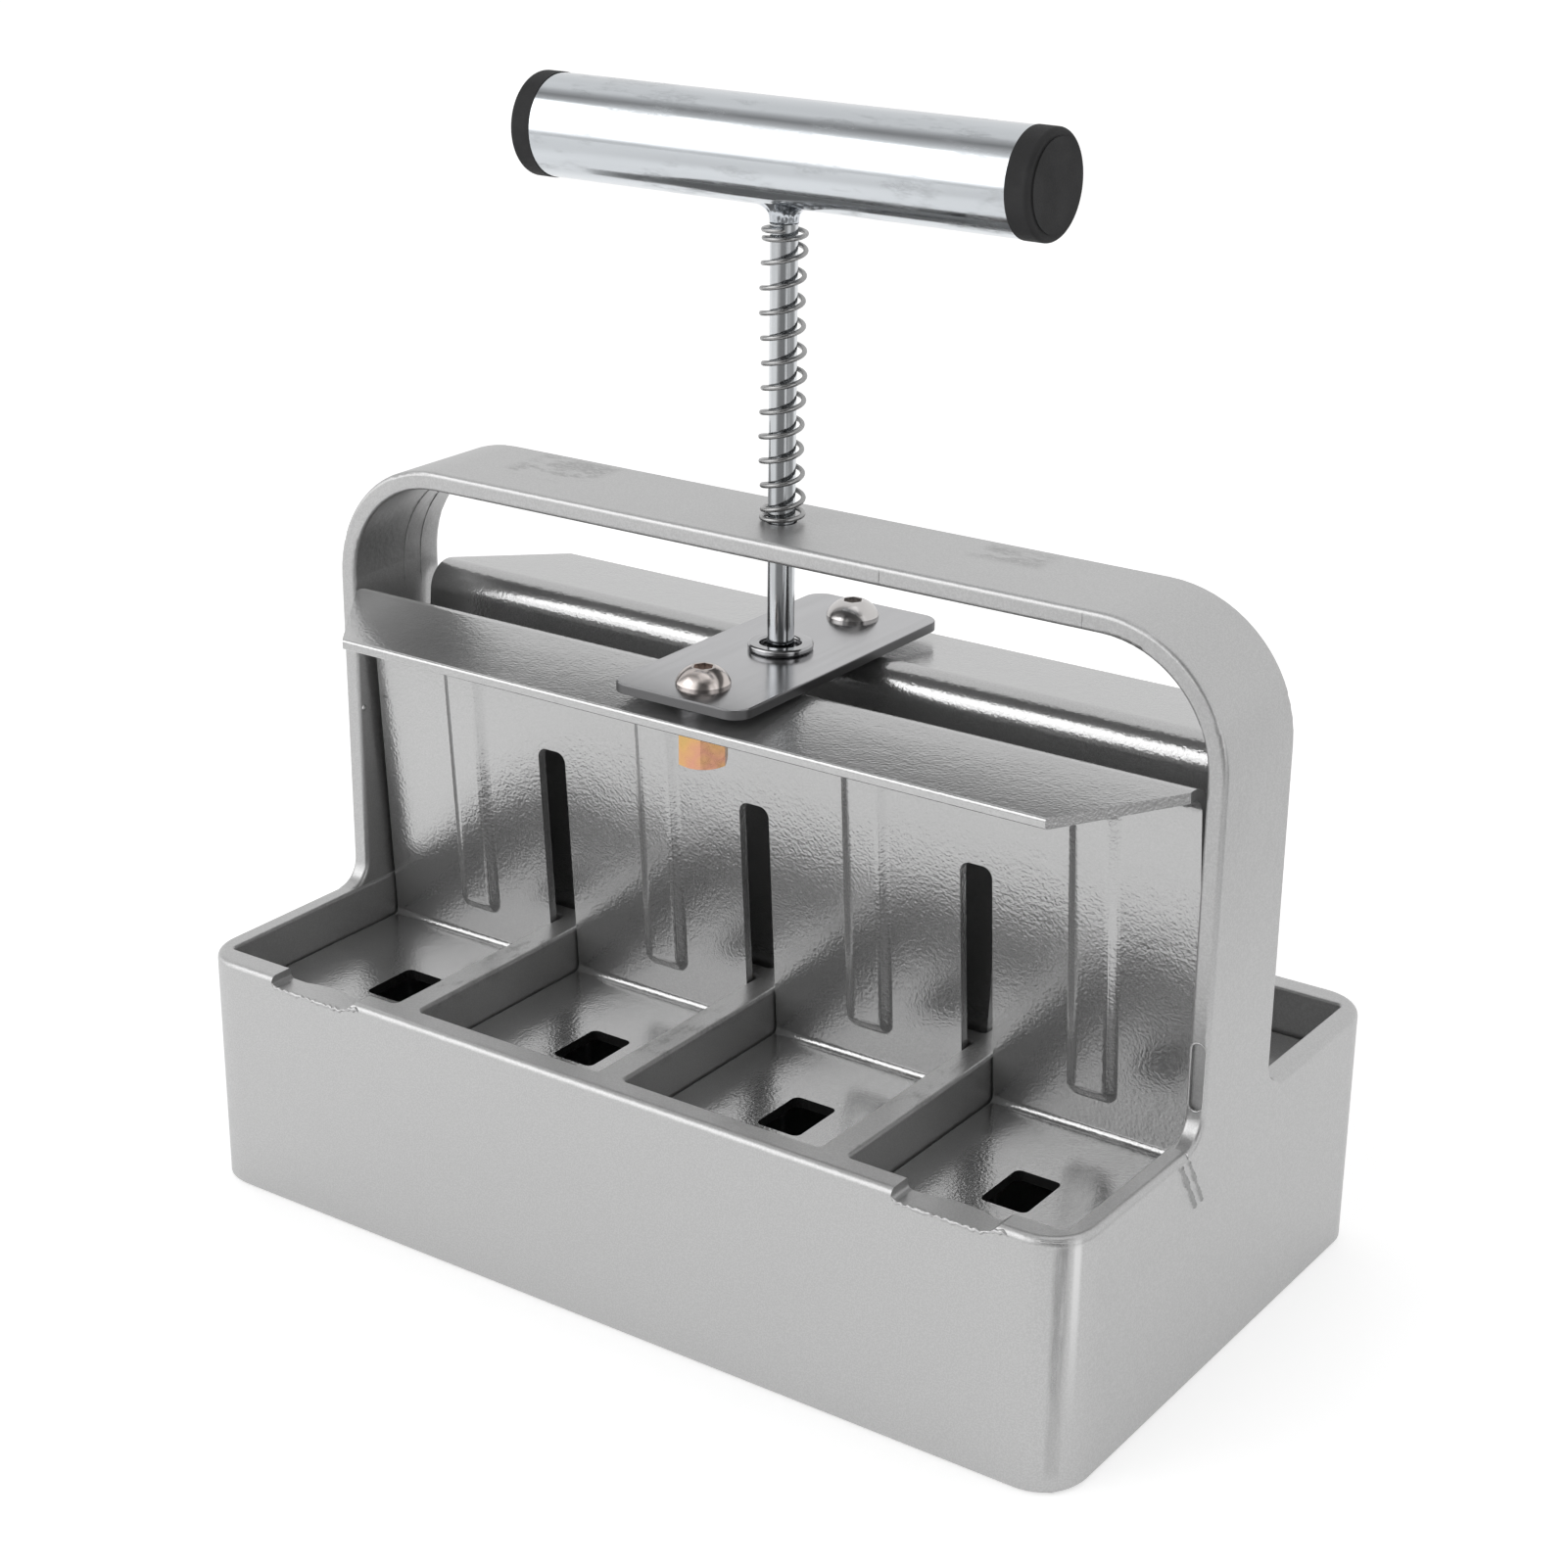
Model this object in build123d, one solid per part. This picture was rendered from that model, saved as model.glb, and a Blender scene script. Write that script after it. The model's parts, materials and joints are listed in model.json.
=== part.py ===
from build123d import *
import math
import os

# Soil blocker: an open mould of two rows of cells under an arch, two press plates that
# slide down through the cells, and a sprung T-handle that drives them.
# Millimetres, +Z up, X along the rows; the origin is the middle of the mould's bottom.

# ---------------------------------------------------------------- mould casting
cell_length = 50.8          # one cell along X, a two inch block
cell_width = 60.0           # one cell along Y
cells_per_row = 4
divider = 7.0               # wall between two cells of a row
spine = 5.0                 # wall between the two rows
end_wall = 5.0
side_wall = 6.5
mould_height = 58.0
corner_radius = 11.0        # upright outer corners
cell_corner_radius = 1.2
rim_round = 1.7             # rim's outer edge
cell_rim_round = 0.8        # rim's edges round the cells
base_chamfer = 0.6

# ---------------------------------------------------------------- arch, one casting with the mould
arch_lift = 108.5           # top of the arch above the rim
arch_root = 6.0             # how deep the legs are drawn down into the end walls
band = 4.5                  # thickness of the strap that forms the arch
arch_width = 30.4
arch_radius = 30.0          # outer radius of the two shoulders
arch_round = 1.1            # every long edge of the strap
foot_radius = 6.0           # flare where a leg meets the rim
pad_length = 15.5           # shallow pocket in the narrow face of one leg
pad_width = 3.4
pad_depth = 0.7
pad_lift = 14.3             # middle of the pocket above the rim

# ---------------------------------------------------------------- gate scars in the front rim
gate_length = 25.0
gate_depth = 2.6
gate_ramp = 2.8             # slope at a scar's right end, along X
gate_tab = 1.3              # how far a scar's tongue stands into its cell
gate_tab_length = 15.0
gate_tab_thickness = 3.0
first_gate_shift = 5.7      # from the middle of the first cell
last_gate_shift = 1.6       # from the middle of the last cell

# ---------------------------------------------------------------- press plates
plate = 2.4                 # thickness of floors and web
floor_drop = 11.0           # top of the floors below the rim at rest
plate_gap = 0.5             # floors and slots to the walls of the cells
spine_gap = 0.8             # web to the spine at the floors
floor_corner = 1.2
floor_stop = 1.1            # underside of the floors above the mould's bottom at full stroke
slot_room = 2.0             # top of a slot above its divider at full stroke
slot_corner = 2.5
web_lean = 4.1              # degrees outwards, going up
web_draw = 1.2              # each end of the web is this much shorter at the flange
flange_lift = 74.5          # outer edge of the flange's top above the rim
flange_reach = 42.0         # outer edge of the flange from the middle
flange_cut_x = 18.5         # corner cut of the flange, along X and along Y
flange_cut_y = 25.0
bend_radius = 6.5
root_radius = 1.6           # web into floors
vent_x = 11.0               # one opening in each floor
vent_y = 15.5
vent_offset = 3.2           # outwards from the middle of the floor
vent_corner = 1.6
vent_pitch = 56.3
vent_shift = 3.0            # row of openings along X from the plate's middle
rib_width = 9.2
rib_height = 1.3
rib_foot = 9.8              # lower end of a rib above the floors
rib_head = 8.5              # upper end of a rib below the bend
rib_pitch = 56.6
rib_shift = 1.5             # row of ribs along X from the plate's middle
edge_radius = 0.8

# ---------------------------------------------------------------- bridge plate and its screws
bridge_x = 34.8
bridge_y = 79.0
bridge = 2.2
bridge_corner = 4.5
spacer = 1.8                # tapered washer, at its middle
spacer_diameter = 12.0
screw_diameter = 6.0
screw_spread = 28.7         # screw from the middle, along Y
head_diameter = 12.0
head_height = 3.8
socket_flats = 4.0
socket_depth = 2.0
nut_flats = 10.0
nut_height = 11.2
screw_proud = 1.0           # screw end below its nut
hole_gap = 0.3              # radial, clearance holes
thread_gap = 0.05           # radial, thread in its nut

# ---------------------------------------------------------------- rod, its washers and nut
rod_diameter = 6.0
shoulder = 0.5              # step from the rod down to its tail
tail_proud = 1.5
guide_gap = 0.4             # radial, rod through the arch
collar_diameter = 14.6
collar_gap = 1.6            # radial, the loose collar round the rod
collar = 1.7
collar_radius = 0.6
washer_diameter = 12.0
washer = 1.2
washer_chamfer = 0.25
tail_nut_flats = 8.0
tail_nut_height = 4.0

# ---------------------------------------------------------------- T-handle
grip_diameter = 22.4
grip_wall = 1.5
grip_length = 119.0
cap_thickness = 5.2
cap_lip = 0.15              # cap's rim beyond the tube
cap_edge_radius = 1.0
cap_disc_inset = 1.8        # border round the raised disc of a cap's face
cap_disc_height = 0.35
cap_stem = 12.0
cap_stem_wall = 2.0
cap_gap = 0.05
weld_leg = 3.6              # bead's reach on the tube beyond the rod
weld_height = 3.4

# ---------------------------------------------------------------- return spring
wire = 1.1
spring_clear = 0.9          # radial, rod to the inside of the coils
spring_spare = 5.0          # room left between the coils at full stroke
spring_seat = 0.3           # spring to the weld bead at rest
closed_turns = 1.25         # close turns at each end
open_turns = 11
closed_pitch = 1.8
spring_start = 125.0        # degrees, where the lower end of the wire lies
spring_sway = 0.3           # how far the coils wander off the rod's axis
sway_turns = 5.5            # turns in one full sway

# ---------------------------------------------------------------- worked out from the above
pitch = cell_length + divider
row_length = cells_per_row * cell_length + (cells_per_row - 1) * divider
mould_length = row_length + 2 * end_wall
mould_width = 2 * cell_width + spine + 2 * side_wall
cell_centres = [(i - (cells_per_row - 1) / 2) * pitch for i in range(cells_per_row)]
divider_places = [(i - cells_per_row / 2) * pitch for i in range(1, cells_per_row)]
row_offset = (spine + cell_width) / 2

floor_rest = mould_height - floor_drop
floor_bottom = floor_rest - plate
stroke = floor_bottom - floor_stop
slot_top = mould_height + stroke + slot_room
lean = math.tan(math.radians(web_lean))
web_wide = plate / math.cos(math.radians(web_lean))
floor_reach = spine / 2 + cell_width - plate_gap
plate_half = row_length / 2 - plate_gap
flange_top = mould_height + flange_lift
flange_at_screw = flange_top + (flange_reach - screw_spread) * lean

bridge_bottom = flange_at_screw + spacer
bridge_top = bridge_bottom + bridge
nut_top = flange_at_screw - nut_flats / 2 * lean - web_wide
nut_bottom = nut_top - nut_height

tail_diameter = rod_diameter - 2 * shoulder

arch_top = mould_height + arch_lift
all_turns = 2 * closed_turns + open_turns
spring_length = stroke + (all_turns + 1) * wire + spring_spare
coil_radius = rod_diameter / 2 + spring_clear + wire / 2
open_pitch = (spring_length - wire - 2 * closed_turns * closed_pitch) / open_turns
weld_bottom = arch_top + spring_length + spring_seat
grip_bottom = weld_bottom + weld_height
grip_axis = grip_bottom + grip_diameter / 2


def washer_ring(outer, bore, thickness, bottom):
    """A flat washer with softened outer edges, its bottom at the given height."""
    ring = Cylinder(outer / 2, thickness, align=(Align.CENTER, Align.CENTER, Align.MIN))
    ring = chamfer(ring.edges(), washer_chamfer)
    ring -= Cylinder(bore / 2, 3 * thickness)
    return Pos(0, 0, bottom) * ring


def collar_ring():
    """Loose ring with rounded edges round the foot of the rod."""
    bore = rod_diameter / 2 + collar_gap
    width = collar_diameter / 2 - bore
    section = RectangleRounded(width, collar, collar_radius)
    ring = revolve(Plane.XZ * Pos(bore + width / 2, collar / 2) * section, Axis.Z)
    return Pos(0, 0, bridge_top) * ring


def hex_nut(flats, height, bore, bottom):
    """A hexagon nut whose corners are turned off at both faces."""
    hexagon = extrude(RegularPolygon(flats / 2, 6, major_radius=False), height)
    corner = flats / math.sqrt(3)
    blank = Cylinder(corner, height, align=(Align.CENTER, Align.CENTER, Align.MIN))
    blank = chamfer(blank.edges(), 0.45 * (corner - flats / 2), 1.05 * (corner - flats / 2))
    nut = (hexagon & blank) - Cylinder(bore / 2, 3 * height)
    return Pos(0, 0, bottom) * nut


def mould_frame():
    """The two rows of open cells, without the arch."""
    outline = RectangleRounded(mould_length, mould_width, corner_radius)
    cell = RectangleRounded(cell_length, cell_width, cell_corner_radius)
    for x in cell_centres:
        for side in (-1, 1):
            outline -= Pos(x, side * row_offset) * cell
    frame = extrude(outline, mould_height)
    frame = fillet(frame.faces().sort_by(Axis.Z)[-1].outer_wire().edges(), rim_round)
    cell_rims = frame.faces().sort_by(Axis.Z)[-1].inner_wires()
    frame = fillet([edge for rim in cell_rims for edge in rim.edges()], cell_rim_round)
    base = frame.faces().sort_by(Axis.Z)[0]
    return chamfer(base.outer_wire().edges(), base_chamfer)


def arch():
    """The strap over the mould; its legs run into the end walls and flare at the rim."""
    root = mould_height - arch_root
    rise = arch_top - root
    outer = Pos(0, root + rise / 2) * Rectangle(mould_length, rise)
    outer = fillet(outer.vertices().group_by(Axis.Y)[-1], arch_radius)
    inner = Pos(0, root + (rise - band) / 2 - 1) * Rectangle(mould_length - 2 * band, rise - band + 2)
    inner = fillet(inner.vertices().group_by(Axis.Y)[-1], arch_radius - band)
    strap = extrude(Plane.XZ * (outer - inner), arch_width, both=True)
    half = arch_width / 2
    side = [
        Line((0, arch_top + 1), (half, arch_top + 1)),
        Line((half, arch_top + 1), (half, mould_height + foot_radius)),
        RadiusArc((half, mould_height + foot_radius), (half + foot_radius, mould_height), -foot_radius),
        Line((half + foot_radius, mould_height), (half + foot_radius, root - 1)),
        Line((half + foot_radius, root - 1), (0, root - 1)),
    ]
    right = make_face(side + [Line((0, root - 1), (0, arch_top + 1))])
    strap &= extrude(Plane.YZ * (right + mirror(right, Plane.YZ)), mould_length, both=True)
    return fillet([e for e in strap.edges() if is_strap_edge(e)], arch_round)


def is_strap_edge(edge):
    """True for an edge that runs along the strap, not across it and not below the rim."""
    box = edge.bounding_box()
    across = box.size.X < 0.01 and box.size.Z < 0.01
    return not across and box.min.Z > mould_height - 0.01


def gate_scars(body):
    """Two broken-off gates: a shallow gap in the front rim with a tongue behind each."""
    wall_middle = -(mould_width - side_wall) / 2
    gap_bottom = mould_height - gate_depth
    end = gate_length / 2
    gap = make_face(Polyline(
        (-end, 0), (end - gate_ramp, 0), (end + gate_ramp, 2 * gate_depth), (-end, 2 * gate_depth),
        close=True))
    gap = fillet(gap.vertices().group_by(Axis.Y)[0], gate_depth * 0.45)
    gap = extrude(Plane.XZ * Pos(0, gap_bottom) * gap, side_wall, both=True)
    chord = gate_tab_length / 2
    tongue_radius = (chord ** 2 + gate_tab ** 2) / (2 * gate_tab)
    inner_face = wall_middle + side_wall / 2
    disc = extrude(Circle(tongue_radius), -gate_tab_thickness)
    disc = Pos(0, inner_face + gate_tab - tongue_radius, gap_bottom) * disc
    keep = Box(gate_tab_length, 2 * gate_tab, 2 * gate_tab_thickness)
    tongue = disc & (Pos(0, inner_face, gap_bottom) * keep)
    for x in (cell_centres[0] + first_gate_shift, cell_centres[-1] + last_gate_shift):
        body -= Pos(x, wall_middle, 0) * gap
        body += Pos(x, 0, 0) * tongue
    return body


def mould_body():
    """The whole casting: cells, arch, gate scars, pocket and the hole for the rod."""
    body = gate_scars(mould_frame() + arch())
    pad = SlotOverall(pad_length, pad_width, rotation=90)
    pad = extrude(Plane.XZ * Pos(mould_length / 2 - band / 2, mould_height + pad_lift) * pad, pad_depth)
    body -= Pos(0, -arch_width / 2 + pad_depth, 0) * pad
    return body - Pos(0, 0, arch_top) * Cylinder(rod_diameter / 2 + guide_gap, 4 * band)


def web_face(z):
    """Distance from the middle to the web's inner face at a height."""
    return spine / 2 + spine_gap + (z - floor_bottom) * lean


def flange_face(y):
    """Height of the flange's top, which is square to the leaning web, at a distance from the middle."""
    return flange_top + (flange_reach - y) * lean


def bend_corner(inset):
    """Where the web's inner face and the flange's top would meet, both moved in by a thickness."""
    rise = flange_face(0) - inset - floor_bottom
    y = (web_face(floor_bottom) + inset + rise * lean) / (1 + lean ** 2)
    return y, flange_face(y) - inset


def plate_profile():
    """Section of the rear plate in Y and Z: floor, leaning web, bend and flange."""
    corners = [
        ((web_face(floor_bottom), floor_bottom), root_radius / 2),
        (bend_corner(0), bend_radius),
        ((flange_reach, flange_top), edge_radius),
        ((flange_reach - plate * lean, flange_top - plate), edge_radius / 2),
        (bend_corner(web_wide), bend_radius - plate),
        ((web_face(floor_rest) + web_wide, floor_rest), root_radius),
        ((floor_reach, floor_rest), edge_radius),
        ((floor_reach, floor_bottom), edge_radius / 2),
    ]
    section = make_face(Polyline(*[point for point, _ in corners], close=True))
    for point, radius in corners:
        section = fillet(section.vertices().sort_by_distance((*point, 0))[0], radius)
    return section


def plate_ribs():
    """Upright ribs on the outer face of the web, one over each cell."""
    low = floor_rest + rib_foot
    high = bend_corner(web_wide)[1] - rib_head
    middle = (low + high) / 2
    length = (high - low) / math.cos(math.radians(web_lean))
    normal = (0, math.cos(math.radians(web_lean)), -math.sin(math.radians(web_lean)))
    rib = extrude(RectangleRounded(rib_width, length, rib_width * 0.3), rib_height + plate / 2)
    rib = fillet(rib.faces().sort_by(Axis.Z)[-1].edges(), rib_height * 0.85)
    rib = Pos(0, 0, -plate / 2) * rib
    ribs = []
    for i in range(cells_per_row):
        x = (i - (cells_per_row - 1) / 2) * rib_pitch - rib_shift
        face = Plane(origin=(x, web_face(middle) + web_wide, middle), x_dir=(1, 0, 0), z_dir=normal)
        ribs.append(face * rib)
    return ribs


def press_plate():
    """The rear press plate; the front one is the same piece turned half round."""
    body = extrude(Plane.YZ * plate_profile(), plate_half, both=True)
    for rib in plate_ribs():
        body += rib
    crest = bend_corner(0)[1]
    ends = make_face(Polyline(
        (-plate_half, floor_bottom - 1), (plate_half, floor_bottom - 1), (plate_half, floor_rest),
        (plate_half - web_draw, crest + 1), (-plate_half + web_draw, crest + 1),
        (-plate_half, floor_rest), close=True))
    body &= extrude(Plane.XZ * ends, floor_reach + 1, both=True)
    surround = Rectangle(mould_length, mould_width)
    for x in cell_centres:
        floor = RectangleRounded(cell_length - 2 * plate_gap, 2 * floor_reach, floor_corner)
        surround -= Pos(x, 0) * floor
    body -= Pos(0, 0, floor_bottom - 1) * extrude(surround, plate + 1)
    slot_width = divider + 2 * plate_gap
    slot = Rectangle(slot_width, slot_top - floor_bottom + 2, align=(Align.CENTER, Align.MAX))
    slot = fillet(slot.vertices().group_by(Axis.Y)[-1], slot_corner)
    for x in divider_places:
        body -= extrude(Plane.XZ * Pos(x, slot_top) * slot, floor_reach + 1, both=True)
    end = plate_half - web_draw
    corner = make_face(Polyline(
        (end - flange_cut_x, flange_reach), (end + 3, flange_reach - flange_cut_y * (1 + 3 / flange_cut_x)),
        (end + 3, flange_reach + 3), (end - flange_cut_x, flange_reach + 3), close=True))
    low = flange_top - plate - bend_radius
    corner = Pos(0, 0, low) * extrude(corner, crest + 1 - low)
    body -= corner
    body -= mirror(corner, Plane.YZ)
    vent_y_place = (web_face(floor_rest) + web_wide + floor_reach) / 2 + vent_offset
    vent = extrude(RectangleRounded(vent_x, vent_y, vent_corner), 4 * plate, both=True)
    for i in range(cells_per_row):
        x = (i - (cells_per_row - 1) / 2) * vent_pitch - vent_shift
        body -= Pos(x, vent_y_place, floor_rest) * vent
    return body - Pos(0, screw_spread, flange_top) * Cylinder(screw_diameter / 2 + hole_gap, 4 * plate)


def bridge_plate():
    """Flat plate that ties both flanges to the rod."""
    sheet = RectangleRounded(bridge_x, bridge_y, bridge_corner)
    for side in (-1, 1):
        sheet -= Pos(0, side * screw_spread) * Circle(screw_diameter / 2 + hole_gap)
    sheet -= Circle(tail_diameter / 2 + hole_gap)
    solid = extrude(sheet, bridge)
    solid = fillet(solid.faces().sort_by(Axis.Z)[-1].outer_wire().edges(), 0.4)
    return Pos(0, 0, bridge_bottom) * solid


def clamp_screw():
    """Button head screw with a hexagon socket, standing on the bridge plate."""
    head = make_face([
        Line((0, 0), (head_diameter / 2, 0)),
        Line((head_diameter / 2, 0), (head_diameter / 2, 0.5)),
        ThreePointArc((head_diameter / 2, 0.5), (head_diameter * 0.41, head_height * 0.6),
                      (head_diameter * 0.22, head_height)),
        Line((head_diameter * 0.22, head_height), (0, head_height)),
        Line((0, head_height), (0, 0)),
    ])
    head = revolve(Plane.XZ * head, Axis.Z)
    socket = extrude(RegularPolygon(socket_flats / 2, 6, major_radius=False), socket_depth + 1)
    head -= Pos(0, 0, head_height - socket_depth) * socket
    length = bridge_top - nut_bottom + screw_proud
    shank = Cylinder(screw_diameter / 2, length, align=(Align.CENTER, Align.CENTER, Align.MAX))
    shank = chamfer(shank.edges().sort_by(Axis.Z)[0], 0.6)
    return Pos(0, 0, bridge_top) * (head + shank)


def tapered_washer():
    """Washer that levels the bridge plate on the sloping rear flange; its origin is on the screw's axis."""
    drop = spacer_diameter / 2 * lean
    ring = washer_ring(spacer_diameter, screw_diameter + 2 * hole_gap, spacer + drop, flange_at_screw - drop)
    slope = make_face(Polyline(
        (-spacer_diameter, flange_at_screw + spacer_diameter * lean),
        (spacer_diameter, flange_at_screw - spacer_diameter * lean),
        (spacer_diameter, nut_top), (-spacer_diameter, nut_top), close=True))
    return ring - extrude(Plane.YZ * slope, spacer_diameter, both=True)


def plunger_rod():
    """Rod with a shoulder on the bridge plate and a thinner tail through it."""
    top = grip_bottom + grip_wall
    shaft = Pos(0, 0, bridge_top) * Cylinder(
        rod_diameter / 2, top - bridge_top, align=(Align.CENTER, Align.CENTER, Align.MIN))
    length = bridge + washer + tail_nut_height + tail_proud
    tail = Cylinder(tail_diameter / 2, length, align=(Align.CENTER, Align.CENTER, Align.MAX))
    tail = chamfer(tail.edges().sort_by(Axis.Z)[0], 0.5)
    return shaft + Pos(0, 0, bridge_top) * tail


def handle_tube():
    """Cross tube of the T-handle, drilled underneath for the rod."""
    ring = Circle(grip_diameter / 2) - Circle(grip_diameter / 2 - grip_wall)
    tube = extrude(Plane.YZ * ring, grip_length / 2, both=True)
    tube = Pos(0, 0, grip_axis) * tube
    drill = Cylinder(rod_diameter / 2 + thread_gap, grip_diameter / 2,
                     align=(Align.CENTER, Align.CENTER, Align.MAX))
    return tube - Pos(0, 0, grip_axis) * drill


def weld_bead():
    """Bead between the rod and the underside of the tube."""
    inner = rod_diameter / 2
    outer = inner + weld_leg
    high = grip_bottom + 2
    low = weld_bottom
    section = make_face([
        Line((inner, low), (inner, high)),
        Line((inner, high), (outer, high)),
        Line((outer, high), (outer, grip_bottom + 0.1)),
        ThreePointArc((outer, grip_bottom + 0.1), (inner + 0.36 * weld_leg, grip_bottom - 0.3 * weld_height),
                      (inner + 0.3, low)),
        Line((inner + 0.3, low), (inner, low)),
    ])
    bead = revolve(Plane.XZ * section, Axis.Z)
    tube = Pos(0, 0, grip_axis) * Rot(0, 90, 0) * Cylinder(grip_diameter / 2, grip_length)
    return bead - tube


def end_cap():
    """Push-in cap for the right end of the tube; its face carries a shallow raised disc."""
    radius = grip_diameter / 2 + cap_lip
    cap = Cylinder(radius, cap_thickness, align=(Align.CENTER, Align.CENTER, Align.MIN))
    cap = fillet(cap.edges().sort_by(Axis.Z)[-1], cap_edge_radius)
    disc = Cylinder(radius - cap_disc_inset, cap_disc_height + 0.5, align=(Align.CENTER, Align.CENTER, Align.MAX))
    cap += Pos(0, 0, cap_thickness + cap_disc_height) * disc
    stem_radius = grip_diameter / 2 - grip_wall - cap_gap
    stem = Circle(stem_radius) - Circle(stem_radius - cap_stem_wall)
    cap += Pos(0, 0, -cap_stem) * extrude(stem, cap_stem + 0.5)
    return Pos(grip_length / 2, 0, grip_axis) * Rot(0, 90, 0) * cap


def wire_height(turn):
    """Height of the wire's middle after a number of turns from the lower end."""
    low = min(turn, closed_turns) * closed_pitch
    middle = min(max(turn - closed_turns, 0), open_turns) * open_pitch
    high = max(turn - closed_turns - open_turns, 0) * closed_pitch
    return arch_top + wire / 2 + low + middle + high


def wire_point(turn):
    """Middle of the wire after a number of turns."""
    angle = math.radians(spring_start + 360 * turn)
    sway = spring_sway * math.sin(2 * math.pi * turn / sway_turns)
    return Vector(coil_radius * math.cos(angle) + sway, coil_radius * math.sin(angle), wire_height(turn))


def wire_direction(turn):
    """Unit direction of the wire, from points a little to both sides."""
    step = 0.02
    return (wire_point(turn + step) - wire_point(turn - step)).normalized()


def biarc(start, start_way, finish, finish_way):
    """Two arcs that leave one point in its direction and reach the next in its own."""
    gap = finish - start
    both = start_way + finish_way
    reach_squared = 2 * (1 - start_way.dot(finish_way))
    along = gap.dot(both)
    root = math.sqrt(along ** 2 + reach_squared * gap.dot(gap))
    reach = (root - along) / reach_squared
    near, far = start + start_way * reach, finish - finish_way * reach
    joint = (near + far) * 0.5
    return [TangentArc(start, joint, tangent=start_way),
            TangentArc(joint, finish, tangent=(far - near).normalized())]


def spring_path():
    """Middle line of the wire, two biarcs to a turn."""
    steps = round(2 * all_turns)
    turns = [i * all_turns / steps for i in range(steps + 1)]
    arcs = []
    for first, second in zip(turns, turns[1:]):
        arcs += biarc(wire_point(first), wire_direction(first), wire_point(second), wire_direction(second))
    return Wire(arcs)


def return_spring():
    """Compression spring round the rod, between the arch and the weld bead."""
    section = Plane(origin=wire_point(0), z_dir=wire_direction(0)) * Circle(wire / 2)
    return sweep(section, path=spring_path())


def spring_gap():
    """Least gap between turns of the wire, measured on points along its path."""
    per_turn = 48
    count = round(all_turns * per_turn)
    path = spring_path()
    points = [path.position_at(i / count) for i in range(count + 1)]
    least = min((points[i] - points[j]).length for i in range(count + 1)
                for j in range(i + per_turn // 2, min(i + 2 * per_turn, count + 1)))
    return least - wire


def build():
    """Every piece of the object by its node name."""
    rear_plate = press_plate()
    screw = clamp_screw()
    nut = hex_nut(nut_flats, nut_height, screw_diameter + 2 * thread_gap, nut_bottom)
    ring = tapered_washer()
    right_cap = end_cap()
    nodes = {
        "mould_body": mould_body(),
        "press_plate_rear": rear_plate,
        "press_plate_front": Rot(0, 0, 180) * rear_plate,
        "bridge_plate": bridge_plate(),
        "plunger_rod": plunger_rod(),
        "rod_collar": collar_ring(),
        "tail_washer": washer_ring(washer_diameter, tail_diameter + 2 * hole_gap, washer, bridge_bottom - washer),
        "tail_nut": hex_nut(tail_nut_flats, tail_nut_height, tail_diameter + 2 * thread_gap,
                            bridge_bottom - washer - tail_nut_height),
        "handle_tube": handle_tube(),
        "weld_bead": weld_bead(),
        "end_cap_right": right_cap,
        "end_cap_left": Rot(0, 0, 180) * right_cap,
        "return_spring": return_spring(),
    }
    for name, turn in (("rear", 0), ("front", 180)):
        place = Rot(0, 0, turn) * Pos(0, screw_spread, 0)
        nodes[f"clamp_screw_{name}"] = place * screw
        nodes[f"clamp_nut_{name}"] = place * nut
        nodes[f"bridge_spacer_{name}"] = place * ring
    return nodes


os.makedirs("parts", exist_ok=True)
for node, solid in build().items():
    export_step(solid, f"parts/{node}.step")
print(f"stroke {stroke:.2f} mm, spring gap {spring_gap():.2f} mm, open pitch {open_pitch:.2f} mm")
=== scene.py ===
import json
import math

import bmesh
import bpy
from bpy.props import FloatProperty, FloatVectorProperty, IntProperty, PointerProperty
from mathutils import Matrix, Vector

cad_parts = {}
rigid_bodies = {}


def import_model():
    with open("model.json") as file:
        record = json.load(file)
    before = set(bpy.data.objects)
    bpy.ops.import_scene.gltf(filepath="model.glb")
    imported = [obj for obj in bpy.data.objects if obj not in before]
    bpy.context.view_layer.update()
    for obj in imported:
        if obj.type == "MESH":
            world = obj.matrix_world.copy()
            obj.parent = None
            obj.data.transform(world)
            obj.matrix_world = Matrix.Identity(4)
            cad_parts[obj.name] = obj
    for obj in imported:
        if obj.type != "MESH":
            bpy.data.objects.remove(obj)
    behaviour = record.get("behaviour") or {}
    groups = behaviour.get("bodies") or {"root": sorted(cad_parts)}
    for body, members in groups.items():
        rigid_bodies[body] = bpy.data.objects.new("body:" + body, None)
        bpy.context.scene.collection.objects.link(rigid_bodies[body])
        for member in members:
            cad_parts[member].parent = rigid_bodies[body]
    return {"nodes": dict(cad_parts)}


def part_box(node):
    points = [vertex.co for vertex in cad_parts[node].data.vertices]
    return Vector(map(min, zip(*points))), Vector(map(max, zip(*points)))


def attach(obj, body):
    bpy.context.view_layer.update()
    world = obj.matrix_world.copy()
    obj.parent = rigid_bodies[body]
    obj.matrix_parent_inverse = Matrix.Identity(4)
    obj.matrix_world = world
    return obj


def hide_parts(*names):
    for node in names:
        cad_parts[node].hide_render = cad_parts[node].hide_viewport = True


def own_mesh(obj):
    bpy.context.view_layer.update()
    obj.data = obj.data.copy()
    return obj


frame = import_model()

bl_info = {
    "name": "Soil blocker",
    "version": (1, 0, 0),
    "blender": (4, 5, 0),
    "location": "3D View > Sidebar > Soil blocker",
    "description": "Finishes, spring, weld and studio for a hand soil blocker",
    "category": "Object",
}

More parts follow.
